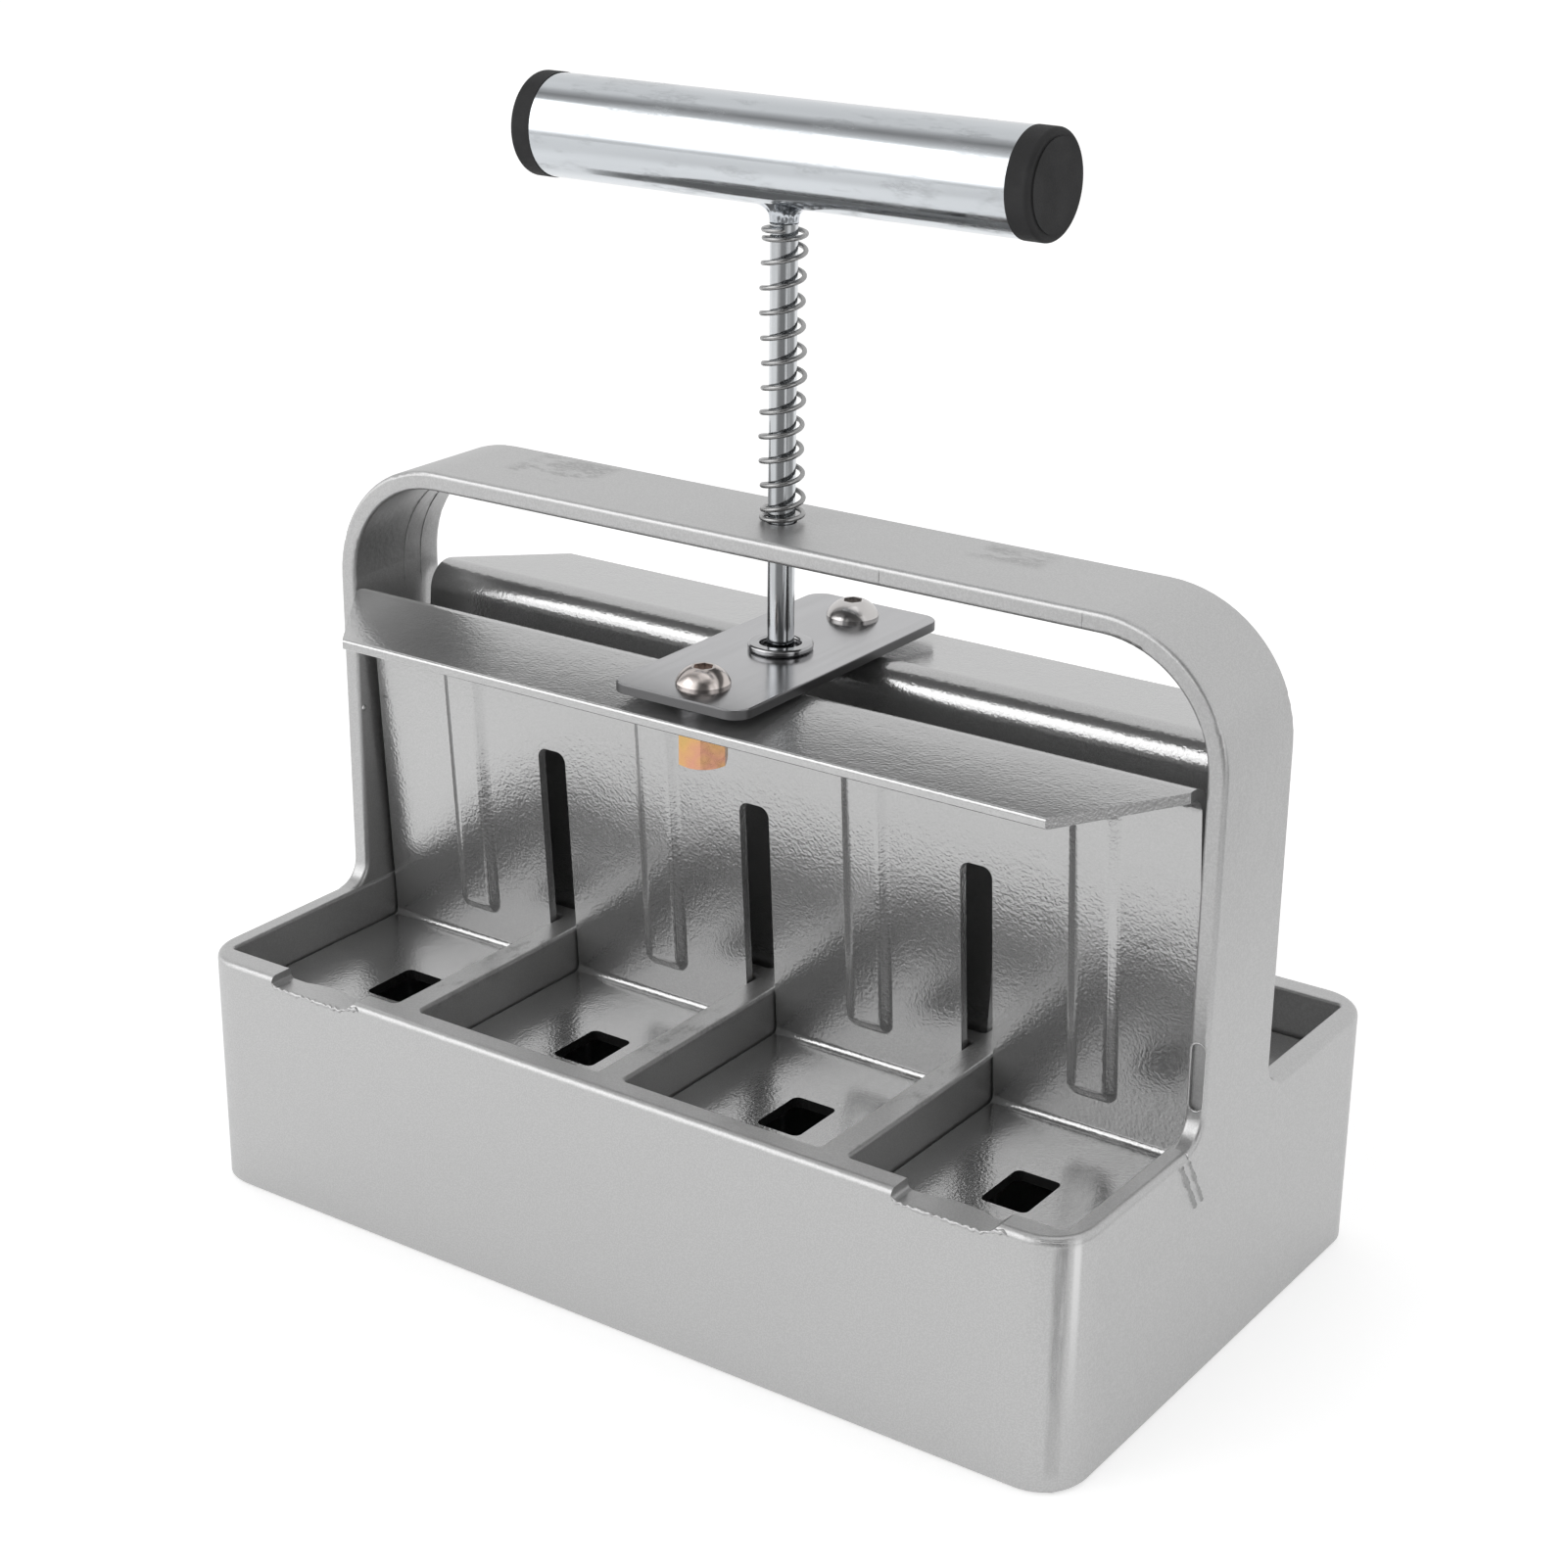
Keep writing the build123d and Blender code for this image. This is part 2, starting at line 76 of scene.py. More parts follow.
MM = 0.001
NODES = frame["nodes"]
RIM = 58 * MM                  # height of the mould's rim
STRAP = 4.5 * MM               # thickness of the arch
STRAP_HALF = 15.2 * MM         # half the width of the arch
SHOULDER = 30 * MM             # outer radius of the arch's shoulders
EVEN = (1.0, 1.0, 1.0)         # a grain or tint that favours no direction or colour


# ---------------------------------------------------------------- node helpers

def add(tree, kind, inputs=None, **settings):
    """Add a node. An input may be a number, a colour, a vector or another node's output."""
    node = tree.nodes.new(kind)
    for name, value in settings.items():
        setattr(node, name, value)
    for socket, value in (inputs or {}).items():
        feed(tree, node.inputs[socket], value)
    return node


def feed(tree, socket, value):
    """Link an output to a socket, or set the socket's own value."""
    if isinstance(value, bpy.types.NodeSocket):
        tree.links.new(value, socket)
    else:
        socket.default_value = value


def calc(tree, operation, first, second=0.0):
    """A math node's result."""
    return add(tree, "ShaderNodeMath", {0: first, 1: second}, operation=operation).outputs[0]


def product(tree, first, *others):
    """Values multiplied together."""
    for other in others:
        first = calc(tree, "MULTIPLY", first, other)
    return first


def rest_of(tree, value):
    """One less a value."""
    return calc(tree, "SUBTRACT", 1.0, value)


def vectors(tree, operation, first, second):
    """A vector math node's result as a vector."""
    return add(tree, "ShaderNodeVectorMath", {0: first, 1: second}, operation=operation).outputs[0]


def unit(tree, vector):
    """A vector's direction, one long."""
    return add(tree, "ShaderNodeVectorMath", {0: vector}, operation="NORMALIZE").outputs[0]


def parts_of(tree, vector):
    """A vector's three parts."""
    return add(tree, "ShaderNodeSeparateXYZ", {0: vector}).outputs


def noise(tree, vector, scale, detail=2.0, roughness=0.5):
    """Plain noise between 0 and 1."""
    inputs = {"Vector": vector, "Scale": scale, "Detail": detail, "Roughness": roughness}
    return add(tree, "ShaderNodeTexNoise", inputs).outputs["Fac"]


def remap(tree, value, low, high, to_low=0.0, to_high=1.0):
    """A value eased from one span to another, held at both ends."""
    inputs = {"Value": value, "From Min": low, "From Max": high, "To Min": to_low, "To Max": to_high}
    return add(tree, "ShaderNodeMapRange", inputs, interpolation_type="SMOOTHSTEP").outputs["Result"]


def blend(tree, share, first, second):
    """One colour turned into another by a share."""
    node = add(tree, "ShaderNodeMix", {0: share}, data_type="RGBA")
    feed(tree, node.inputs[6], first)
    feed(tree, node.inputs[7], second)
    return node.outputs[2]


def towards(tree, outward, azimuth, low, high):
    """How nearly a level direction points one way."""
    ahead = (math.sin(azimuth), -math.cos(azimuth), 0.0)
    facing = add(tree, "ShaderNodeVectorMath", {0: outward, 1: ahead}, operation="DOT_PRODUCT")
    return remap(tree, facing.outputs["Value"], low, high)


def ramp(tree, value, stops):
    """A colour read off a row of stops, the first at zero and the last at one."""
    node = add(tree, "ShaderNodeValToRGB", {"Fac": value})
    elements = node.color_ramp.elements
    elements[0].color = (*stops[0][1], 1.0)
    elements[-1].color = (*stops[-1][1], 1.0)
    for position, colour in stops[1:-1]:
        elements.new(position).color = (*colour, 1.0)
    return node.outputs["Color"]


def shade(colour, factor):
    """A colour made lighter or darker, with its alpha kept at one."""
    return (*(min(1.0, channel * factor) for channel in colour[:3]), 1.0)


def object_place(tree):
    """The surface's place in the object's own frame, in metres."""
    return add(tree, "ShaderNodeTexCoord").outputs["Object"]


def levelness(tree):
    """One where the face itself is level, none where it stands upright."""
    facing = add(tree, "ShaderNodeNewGeometry").outputs["True Normal"]
    return calc(tree, "ABSOLUTE", parts_of(tree, facing)[2])


def start_group(name, inputs, outputs):
    """A shader node group with its sockets; returns the tree, its input node and its output node."""
    group = bpy.data.node_groups.new(name, "ShaderNodeTree")
    kinds = {"value": "NodeSocketFloat", "vector": "NodeSocketVector"}
    for socket, kind, default in inputs:
        made = group.interface.new_socket(name=socket, in_out="INPUT", socket_type=kinds[kind])
        made.default_value = default
    for socket in outputs:
        group.interface.new_socket(name=socket, in_out="OUTPUT", socket_type="NodeSocketFloat")
    return group, group.nodes.new("NodeGroupInput").outputs, group.nodes.new("NodeGroupOutput").inputs


def use_group(tree, group, inputs):
    """Place a group in a material and return its outputs."""
    node = tree.nodes.new("ShaderNodeGroup")
    node.node_tree = group
    for socket, value in inputs.items():
        feed(tree, node.inputs[socket], value)
    return node.outputs


# ---------------------------------------------------------------- shared effects

def paint_skin_group():
    """Sprayed paint: the height of its orange peel, and the flecks of metal in it."""
    tree, given, made = start_group(
        "paint skin", [("Peel Size", "value", 1 * MM), ("Fleck Size", "value", 0.3 * MM)],
        ["Height", "Fleck"])
    place = object_place(tree)
    peel_scale = calc(tree, "DIVIDE", 1.0, given["Peel Size"])
    broad_scale, broad_share = 0.22, 0.6
    fine = noise(tree, place, peel_scale, 1.5)
    broad = noise(tree, place, product(tree, peel_scale, broad_scale), 1.0)
    tree.links.new(calc(tree, "ADD", fine, product(tree, broad, broad_share)), made["Height"])
    fleck = noise(tree, place, calc(tree, "DIVIDE", 1.0, given["Fleck Size"]), 0.0)
    tree.links.new(remap(tree, fleck, 0.35, 0.7), made["Fleck"])
    return tree


def grain_group():
    """Fine drawn lines and cloudy patches on bare or plated metal."""
    tree, given, made = start_group(
        "drawn grain", [("Stretch", "vector", EVEN), ("Line Size", "value", 0.3 * MM)], ["Lines", "Cloud"])
    place = vectors(tree, "MULTIPLY", object_place(tree), given["Stretch"])
    scale = calc(tree, "DIVIDE", 1.0, given["Line Size"])
    cloud_scale = 0.08
    tree.links.new(noise(tree, place, scale, 3.0, 0.65), made["Lines"])
    tree.links.new(noise(tree, place, product(tree, scale, cloud_scale), 2.0), made["Cloud"])
    return tree


def soft_box_group():
    """One inside a box in the object's frame, easing to nothing outside it."""
    tree, given, made = start_group(
        "soft box", [("Low", "vector", (0.0, 0.0, 0.0)), ("High", "vector", (1.0, 1.0, 1.0)),
                     ("Soft", "value", 2 * MM)], ["Mask"])
    place = object_place(tree)
    above = vectors(tree, "SUBTRACT", place, given["Low"])
    below = vectors(tree, "SUBTRACT", given["High"], place)
    inward = parts_of(tree, vectors(tree, "MINIMUM", above, below))
    least = calc(tree, "MINIMUM", calc(tree, "MINIMUM", inward[0], inward[1]), inward[2])
    share = calc(tree, "DIVIDE", least, given["Soft"])
    tree.links.new(remap(tree, share, -1.0, 1.0), made["Mask"])
    return tree


def rub_group():
    """Rubbed and smudged marks: patches broken up by fine scratches."""
    tree, given, made = start_group(
        "rub marks", [("Stretch", "vector", EVEN), ("Patch Size", "value", 10 * MM), ("Cover", "value", 0.3)],
        ["Mask"])
    place = vectors(tree, "MULTIPLY", object_place(tree), given["Stretch"])
    scale = calc(tree, "DIVIDE", 1.0, given["Patch Size"])
    limit = calc(tree, "SUBTRACT", 0.72, product(tree, given["Cover"], 0.4))
    patch = remap(tree, noise(tree, place, scale, 3.0, 0.6), limit, calc(tree, "ADD", limit, 0.12))
    scratch = remap(tree, noise(tree, place, product(tree, scale, 9.0), 4.0, 0.7), 0.3, 0.62)
    tree.links.new(product(tree, patch, scratch), made["Mask"])
    return tree


def edge_group():
    """Where the surface turns over an edge within a small radius."""
    tree, given, made = start_group("turned edge", [("Radius", "value", 0.6 * MM)], ["Mask"])
    rounded = add(tree, "ShaderNodeBevel", {"Radius": given["Radius"]}, samples=6).outputs["Normal"]
    flat = add(tree, "ShaderNodeNewGeometry").outputs["Normal"]
    alike = add(tree, "ShaderNodeVectorMath", {0: rounded, 1: flat}, operation="DOT_PRODUCT").outputs["Value"]
    tree.links.new(remap(tree, alike, 0.995, 0.86), made["Mask"])
    return tree


EFFECTS = {
    "paint_skin": paint_skin_group,
    "grain": grain_group,
    "soft_box": soft_box_group,
    "rub": rub_group,
    "edge": edge_group,
}


def effect(name):
    """The shared group of that name, made the first time that it is asked for."""
    key = "blocker_" + name
    if key not in bpy.data.node_groups:
        made = EFFECTS[name]()
        made.name = key
    return bpy.data.node_groups[key]


# ---------------------------------------------------------------- finishes

def start_finish(name, inputs):
    """A material with one Principled surface; returns the material, its tree and the surface node."""
    material = bpy.data.materials.new(name)
    material.use_nodes = True
    tree = material.node_tree
    surface = tree.nodes["Principled BSDF"]
    for socket, value in inputs.items():
        feed(tree, surface.inputs[socket], value)
    return material, tree, surface


def bump(tree, surface, height, depth=1.0):
    """Give the surface a relief: a height in metres, or a share of a depth in metres."""
    node = add(tree, "ShaderNodeBump", {"Height": height, "Distance": depth, "Strength": 1.0})
    tree.links.new(node.outputs["Normal"], surface.inputs["Normal"])


def zone(tree, low, high, soft=2 * MM):
    """One inside a box given by two corners in metres."""
    return use_group(tree, effect("soft_box"), {"Low": low, "High": high, "Soft": soft})["Mask"]


def rubbed(tree, stretch, patch_size, cover):
    """Smudged patches of a given size and cover."""
    sizes = {"Stretch": stretch, "Patch Size": patch_size, "Cover": cover}
    return use_group(tree, effect("rub"), sizes)["Mask"]


def mottled(tree, cloud, colour, darker, lighter):
    """A colour that drifts between a darker and a lighter tone of itself."""
    return blend(tree, remap(tree, cloud, 0.3, 0.7), shade(colour, darker), shade(colour, lighter))


def uneven(tree, pattern, value, least, most):
    """A value that a pattern moves between two shares of itself."""
    return remap(tree, pattern, 0.2, 0.8, value * least, value * most)


def paint_skin(tree, finish):
    """The flecks and orange peel of one paint."""
    sizes = {"Peel Size": finish.peel_size, "Fleck Size": finish.fleck_size}
    return use_group(tree, effect("paint_skin"), sizes)


def paint_relief(tree, surface, skin, finish):
    """Orange peel over the slow waves of the surface."""
    peel = product(tree, skin["Height"], finish.peel_depth)
    waves = product(tree, noise(tree, object_place(tree), 1.0 / finish.wave_size, 1.0), finish.wave_depth)
    bump(tree, surface, calc(tree, "ADD", peel, waves))


def cast_paint(finish):
    """Silver paint on the die casting: flecks, orange peel, slow waves, rubbed spots and a painted reflection
    down one corner.
    """
    material, tree, surface = start_finish("cast paint", {"Metallic": finish.metal})
    skin = paint_skin(tree, finish)
    low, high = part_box("mould_body")
    smudged = product(tree, smudged_spots(tree, low, high), 0.45)
    # Painted reflection down the front right corner: a dark streak, and a painted highlight line beside it.
    painted_dark_streak, glint = painted_corner_reflection(tree, low, high)
    proud = high.x + 0.08 * MM             # only the creases stand out past the end wall
    # Painted shade on the creases: the ridges that stand out past the end wall are coloured darker.
    painted_crease_shade = zone(tree, (proud, low.y, RIM - 20 * MM), (proud + 10 * MM, 0.0, RIM - 0.5 * MM), 0.1 * MM)
    colour = blend(tree, skin["Fleck"], shade(finish.colour, 0.95), shade(finish.colour, 1.05))
    # The marks in turn: rubbed smudges, the painted dark reflection streak, the painted highlight line and
    # the painted crease shade.
    marks = ((smudged, 0.45), (product(tree, painted_dark_streak, 0.9), 0.42), (product(tree, glint, 0.8), 1.5),
             (product(tree, painted_crease_shade, 0.7), 0.5))
    for mask, tone in marks:
        colour = blend(tree, mask, colour, shade(finish.colour, tone))
    tree.links.new(colour, surface.inputs["Base Color"])
    rough = calc(tree, "ADD", finish.roughness, product(tree, calc(tree, "SUBTRACT", smudged, painted_dark_streak), 0.2))
    tree.links.new(rough, surface.inputs["Roughness"])
    paint_relief(tree, surface, skin, finish)
    return material


def smudged_spots(tree, low, high):
    """Two smudges on top of the arch and rubbed paint on the dividers' top edges."""
    skin = 3 * MM                          # how far a spot reaches above and below its surface
    left = zone(tree, (-76 * MM, -4 * MM, high.z - skin), (-54 * MM, 13 * MM, high.z + skin))
    right = zone(tree, (46 * MM, 3 * MM, high.z - skin), (62 * MM, 12 * MM, high.z + skin))
    from_end, from_side, edge = 40 * MM, 8 * MM, 2 * MM
    dividers = zone(tree, (low.x + from_end, low.y + from_side, RIM - edge),
                    (high.x - from_end, high.y - from_side, RIM + edge))
    on_arch = product(tree, rubbed(tree, (0.45, 1.0, 1.0), 6 * MM, 0.75), calc(tree, "ADD", left, right))
    on_dividers = product(tree, rubbed(tree, (1.0, 0.5, 1.0), 5 * MM, 0.5), dividers)
    return calc(tree, "ADD", on_arch, on_dividers)


def painted_corner_reflection(tree, low, high):
    """Two masks down the front right corner: a long dark streak of painted reflection, and a painted
    highlight line beside it.
    """
    place = parts_of(tree, object_place(tree))
    middle = high.x + low.y - 0.8 * MM     # X + Y along the dark streak's middle
    streak_edge, streak_core = 3 * MM, 1.2 * MM
    line_middle, line_edge, line_core = 4.6 * MM, 1.8 * MM, 0.4 * MM
    aside = calc(tree, "SUBTRACT", calc(tree, "ADD", place[0], place[1]), middle)
    corner = zone(tree, (high.x - 9 * MM, low.y - 10 * MM, 4 * MM),
                  (high.x + 10 * MM, low.y + 9 * MM, RIM - 1 * MM))
    streaks = use_group(tree, effect("grain"), {"Stretch": (1.0, 1.0, 0.12), "Line Size": 1.6 * MM})["Lines"]
    painted_dark_streak = product(tree, remap(tree, calc(tree, "ABSOLUTE", aside), streak_edge, streak_core),
                   remap(tree, streaks, 0.25, 0.75, 0.35, 1.0), corner,
                   remap(tree, place[2], 4 * MM, RIM, 0.4, 1.0))
    beside = calc(tree, "ABSOLUTE", calc(tree, "SUBTRACT", aside, line_middle))
    glint = product(tree, remap(tree, beside, line_edge, line_core), corner,
                    remap(tree, place[2], 12 * MM, RIM - 2 * MM))
    return painted_dark_streak, glint


def plate_paint(finish):
    """Glossier silver paint on the pressed sheet, with painted shade on the vent walls in the floors."""
    material, tree, surface = start_finish("plate paint", {"Metallic": finish.metal})
    skin = paint_skin(tree, finish)
    sheet, soft = 2.4 * MM, 0.2 * MM
    floor_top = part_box("press_plate_front")[0].z + sheet
    rise = parts_of(tree, object_place(tree))[2]
    # Painted shade: upright faces below the floors' top, the vent walls, are coloured almost black.
    painted_vent_shade = product(tree, remap(tree, levelness(tree), 0.5, 0.2),
                       remap(tree, rise, floor_top + soft, floor_top - soft))
    colour = blend(tree, skin["Fleck"], shade(finish.colour, 0.96), shade(finish.colour, 1.04))
    colour = blend(tree, painted_vent_shade, colour, shade(finish.colour, 0.2))
    tree.links.new(colour, surface.inputs["Base Color"])
    rough = remap(tree, skin["Fleck"], 0.0, 1.0, finish.roughness * 0.9, finish.roughness * 1.1)
    tree.links.new(rough, surface.inputs["Roughness"])
    paint_relief(tree, surface, skin, finish)
    return material


def rolled_plate(finish):
    """Satin rolled plate with fine lines along it; its upright faces, the sheared edges, are coloured much
    darker and made rougher than its level faces.
    """
    material, tree, surface = start_finish("bridge steel", {"Metallic": 1.0})
    grain = use_group(tree, effect("grain"), {"Stretch": (1.0, 0.05, 1.0), "Line Size": 0.25 * MM})
    flat = remap(tree, levelness(tree), 0.55, 0.85)
    colour = mottled(tree, grain["Cloud"], finish.colour, 0.97, 1.03)
    tree.links.new(blend(tree, flat, shade(finish.colour, 0.32), colour), surface.inputs["Base Color"])
    rough = uneven(tree, grain["Lines"], finish.roughness, 0.85, 1.2)
    rough = calc(tree, "ADD", rough, product(tree, rest_of(tree, flat), 0.2))
    tree.links.new(rough, surface.inputs["Roughness"])
    bump(tree, surface, grain["Lines"], finish.line_depth)
    return material


def plated_metal(name, finish, stretch, line_size, tint=EVEN, handled=0.0):
    """Plated steel with drawn lines, cloudy patches, slightly rubbed edges and the smudges of handling."""
    material, tree, surface = start_finish(name, {"Metallic": 1.0})
    grain = use_group(tree, effect("grain"), {"Stretch": stretch, "Line Size": line_size})
    edge = use_group(tree, effect("edge"), {"Radius": 0.5 * MM})
    base = tuple(channel * share for channel, share in zip(finish.colour, tint))
    colour = mottled(tree, grain["Cloud"], base, 0.92, 1.06)
    colour = blend(tree, product(tree, edge["Mask"], 0.25), colour, shade(base, 1.25))
    rough = uneven(tree, grain["Lines"], finish.roughness, 0.75, 1.3)
    if handled:
        smudge = product(tree, rubbed(tree, (0.3, 1.0, 1.0), 5 * MM, 0.55), handled)
        colour = blend(tree, smudge, colour, shade(base, 0.72))
        rough = calc(tree, "ADD", rough, product(tree, smudge, 0.25))
    tree.links.new(colour, surface.inputs["Base Color"])
    tree.links.new(rough, surface.inputs["Roughness"])
    bump(tree, surface, grain["Lines"], finish.line_depth)
    return material


def yellow_zinc(finish):
    """Yellow zinc on the nuts, with patches that turn pink and green."""
    material, tree, surface = start_finish("yellow zinc", {"Metallic": 1.0})
    place = object_place(tree)
    patch, pitting = 1 / 120, 1 / 900      # widths in metres
    green, straw, gold, pink = (0.60, 0.50, 0.16), (0.66, 0.47, 0.17), (0.78, 0.47, 0.20), (0.76, 0.38, 0.26)
    copper, olive = (0.74, 0.44, 0.20), (0.56, 0.50, 0.22)
    stops = ((0.0, green), (0.36, straw), (0.47, gold), (0.60, pink), (0.72, copper), (1.0, olive))
    tree.links.new(ramp(tree, noise(tree, place, 1 / patch, 1.5), stops), surface.inputs["Base Color"])
    rough = uneven(tree, noise(tree, place, 1 / pitting, 3.0), finish.roughness, 0.8, 1.5)
    tree.links.new(rough, surface.inputs["Roughness"])
    return material


def moulded_plastic(finish):
    """Matte black plastic with a fine spark-eroded texture."""
    material, tree, surface = start_finish("cap plastic", {"Metallic": 0.0, "Specular IOR Level": 0.15})
    place = object_place(tree)
    spark, patch = 1 / 2600, 1 / 120       # widths in metres
    fine = noise(tree, place, 1 / spark, 2.0, 0.6)
    colour = mottled(tree, noise(tree, place, 1 / patch, 2.0), finish.colour, 0.85, 1.15)
    tree.links.new(colour, surface.inputs["Base Color"])
    tree.links.new(uneven(tree, fine, finish.roughness, 0.9, 1.15), surface.inputs["Roughness"])
    bump(tree, surface, fine, 0.03 * MM)
    return material


def dress(material, *names):
    """Give CAD nodes a finish."""
    for name in names:
        for slot in NODES[name].material_slots:
            slot.material = material


# ---------------------------------------------------------------- mesh helpers

def new_piece(name, mesh, material, body):
    """A smooth-shaded piece that rides on a body."""
    for face in mesh.polygons:
        face.use_smooth = True
    piece = bpy.data.objects.new(name, mesh)
    bpy.context.scene.collection.objects.link(piece)
    piece.data.materials.append(material)
    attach(piece, body)
    return piece


def tube_mesh(name, rings, closed_ends=True, closed_round=True):
    """A mesh through rings of points, each ring of the same count."""
    mesh_data = bmesh.new()
    loops = [[mesh_data.verts.new(point) for point in ring] for ring in rings]
    count = len(loops[0])
    for first, second in zip(loops, loops[1:]):
        for i in range(count if closed_round else count - 1):
            j = (i + 1) % count
            mesh_data.faces.new((first[i], first[j], second[j], second[i]))
    if closed_ends:
        mesh_data.faces.new(list(reversed(loops[0])))
        mesh_data.faces.new(loops[-1])
    bmesh.ops.remove_doubles(mesh_data, verts=mesh_data.verts, dist=1e-7)
    bmesh.ops.recalc_face_normals(mesh_data, faces=mesh_data.faces)
    mesh = bpy.data.meshes.new(name)
    mesh_data.to_mesh(mesh)
    mesh_data.free()
    return mesh


def along(points, step):
    """Points at even steps on the straight stretches between the given ones."""
    path = [points[0]]
    for start, end in zip(points, points[1:]):
        count = max(1, round((end - start).length / step))
        path += [start.lerp(end, (i + 1) / count) for i in range(count)]
    return path


def between(start, end, count):
    """Even steps from a start up to, but without, an end."""
    return [start + (end - start) * i / count for i in range(count)]


def circle(count):
    """Angles once round a circle."""
    return [2 * math.pi * i / count for i in range(count)]


def ridge_mesh(name, path, radius, ragged, closed=False):
    """A thin raised line: a rounded tube that tapers to nothing at its ends and swells unevenly."""
    sides, taper = 8, 3
    aslant = Vector((0.31, 0.52, 0.79))    # along none of the marks
    last = len(path) - 1
    rings = []
    for i, point in enumerate(path):
        before = path[i - 1] if i or closed else point
        after = path[(i + 1) % len(path)] if i < last or closed else point
        forward = (after - before).normalized()
        across = forward.cross(aslant).normalized()
        over = forward.cross(across)
        end = 1.0 if closed else min(1.0, (min(i, last - i) + 0.05) / taper)
        swell = 0.5 * math.sin(2.3 * i + 0.7) + 0.3 * math.sin(5.9 * i) + 0.4 * math.sin(0.61 * i)
        reach = radius * end * (1 + ragged * swell)
        rings.append([point + (across * math.cos(a) + over * math.sin(a)) * reach for a in circle(sides)])
    if closed:
        rings.append(rings[0])
    return tube_mesh(name, rings, closed_ends=not closed)


# ---------------------------------------------------------------- settings

def colour_setting(name, description, default):
    """A colour that a user may change."""
    return FloatVectorProperty(
        name=name, description=description, subtype="COLOR", min=0, max=1, default=default)


def share_setting(name, description, default):
    """A share between none and one."""
    return FloatProperty(name=name, description=description, subtype="FACTOR", min=0, max=1, default=default)


def length_setting(name, description, default):
    """A length in metres."""
    return FloatProperty(name=name, description=description, unit="LENGTH", default=default)


def angle_setting(name, description, degrees):
    """An angle, given in degrees."""
    return FloatProperty(name=name, description=description, subtype="ANGLE", default=math.radians(degrees))


def power_setting(name, description, default):
    """A lamp's power in watts."""
    return FloatProperty(name=name, description=description, unit="POWER", default=default)


def part_settings(kind, name, description):
    """One part's group of settings."""
    return PointerProperty(type=kind, name=name, description=description)


class Paint:
    """What every silver paint has."""
    colour: colour_setting("Colour", "Colour of the silver paint", (0.57, 0.57, 0.57))
    metal: share_setting("Metal", "How metallic the paint is", 0.82)
    fleck_size: length_setting("Fleck size", "Width of the metal flecks", 0.35 * MM)
    wave_size: length_setting("Wave size", "Width of the surface's slow waves", 14 * MM)


class CastSettings(Paint, bpy.types.PropertyGroup):
    """Silver paint of the mould and arch."""
    roughness: share_setting("Roughness", "Roughness of the paint", 0.38)
    peel_size: length_setting("Peel size", "Width of one bump of the orange peel", 1.2 * MM)
    peel_depth: length_setting("Peel depth", "Depth of the orange peel", 0.06 * MM)
    wave_depth: length_setting("Wave depth", "Height of the surface's slow waves", 0.22 * MM)


class PlateSettings(Paint, bpy.types.PropertyGroup):
    """Silver paint of the press plates."""
    roughness: share_setting("Roughness", "Roughness of the paint", 0.2)
    peel_size: length_setting("Peel size", "Width of one bump of the orange peel", 0.7 * MM)
    peel_depth: length_setting("Peel depth", "Depth of the orange peel", 0.065 * MM)
    wave_depth: length_setting("Wave depth", "Height of the surface's slow waves", 0.09 * MM)


class Plating:
    """What most plated metal has."""
    line_depth: length_setting("Line depth", "Depth of the drawn lines", 0.004 * MM)
    roughness: share_setting("Roughness", "Mean roughness of the metal", 0.12)


class TubeSettings(Plating, bpy.types.PropertyGroup):
    """Bright zinc of the handle tube."""
    colour: colour_setting("Colour", "Colour of the tube", (0.68, 0.71, 0.74))


class SteelSettings(Plating, bpy.types.PropertyGroup):
    """Bright zinc of the rod and weld."""
    colour: colour_setting("Colour", "Colour of the rod", (0.68, 0.70, 0.72))


class ScrewSettings(Plating, bpy.types.PropertyGroup):
    """Bright steel of the button head screws."""
    colour: colour_setting("Colour", "Colour of the screws", (0.66, 0.64, 0.63))
    roughness: share_setting("Roughness", "Mean roughness of the screws", 0.19)


class CollarSettings(Plating, bpy.types.PropertyGroup):
    """Dark chrome of the collar, spacers, tail washer and tail nut."""
    colour: colour_setting("Colour", "Colour of the collar", (0.47, 0.47, 0.48))


class BridgeSettings(bpy.types.PropertyGroup):
    """Satin finish of the bridge plate."""
    colour: colour_setting("Colour", "Colour of the bridge plate", (0.50, 0.50, 0.51))
    roughness: share_setting("Roughness", "Roughness of the bridge plate", 0.2)
    line_depth: length_setting("Line depth", "Depth of the rolled lines", 0.002 * MM)


class WireSettings(bpy.types.PropertyGroup):
    """Drawn finish of the spring's wire."""
    colour: colour_setting("Colour", "Colour of the wire", (0.38, 0.38, 0.38))
    roughness: share_setting("Roughness", "Roughness of the wire", 0.26)
    line_depth: length_setting("Line depth", "Depth of the drawn lines", 0.003 * MM)


class NutSettings(bpy.types.PropertyGroup):
    """Yellow zinc of the nuts under the flanges."""
    roughness: share_setting("Roughness", "Roughness of the nuts", 0.2)


class PlasticSettings(bpy.types.PropertyGroup):
    """Moulded plastic of the end caps."""
    colour: colour_setting("Colour", "Colour of the plastic", (0.036, 0.036, 0.037))
    roughness: share_setting("Roughness", "Roughness of the plastic", 0.62)


class SpringSettings(bpy.types.PropertyGroup):
    """Wound wire of the return spring."""
    wire: length_setting("Wire", "Diameter of the wire", 1.1 * MM)
    turns: FloatProperty(name="Turns", description="Turns in all", default=13.5)
    closed_turns: FloatProperty(name="Closed turns", description="Close turns at each end", default=1.25)
    closed_pitch: length_setting("Closed pitch", "Rise of a close turn", 1.8 * MM)
    start: angle_setting("Start", "Where the lower end of the wire lies", 125)
    sway: length_setting("Sway", "How far the coils wander off the rod's axis", 0.3 * MM)
    sides: IntProperty(name="Sides", description="Sides of the wire's section", default=14, min=6)


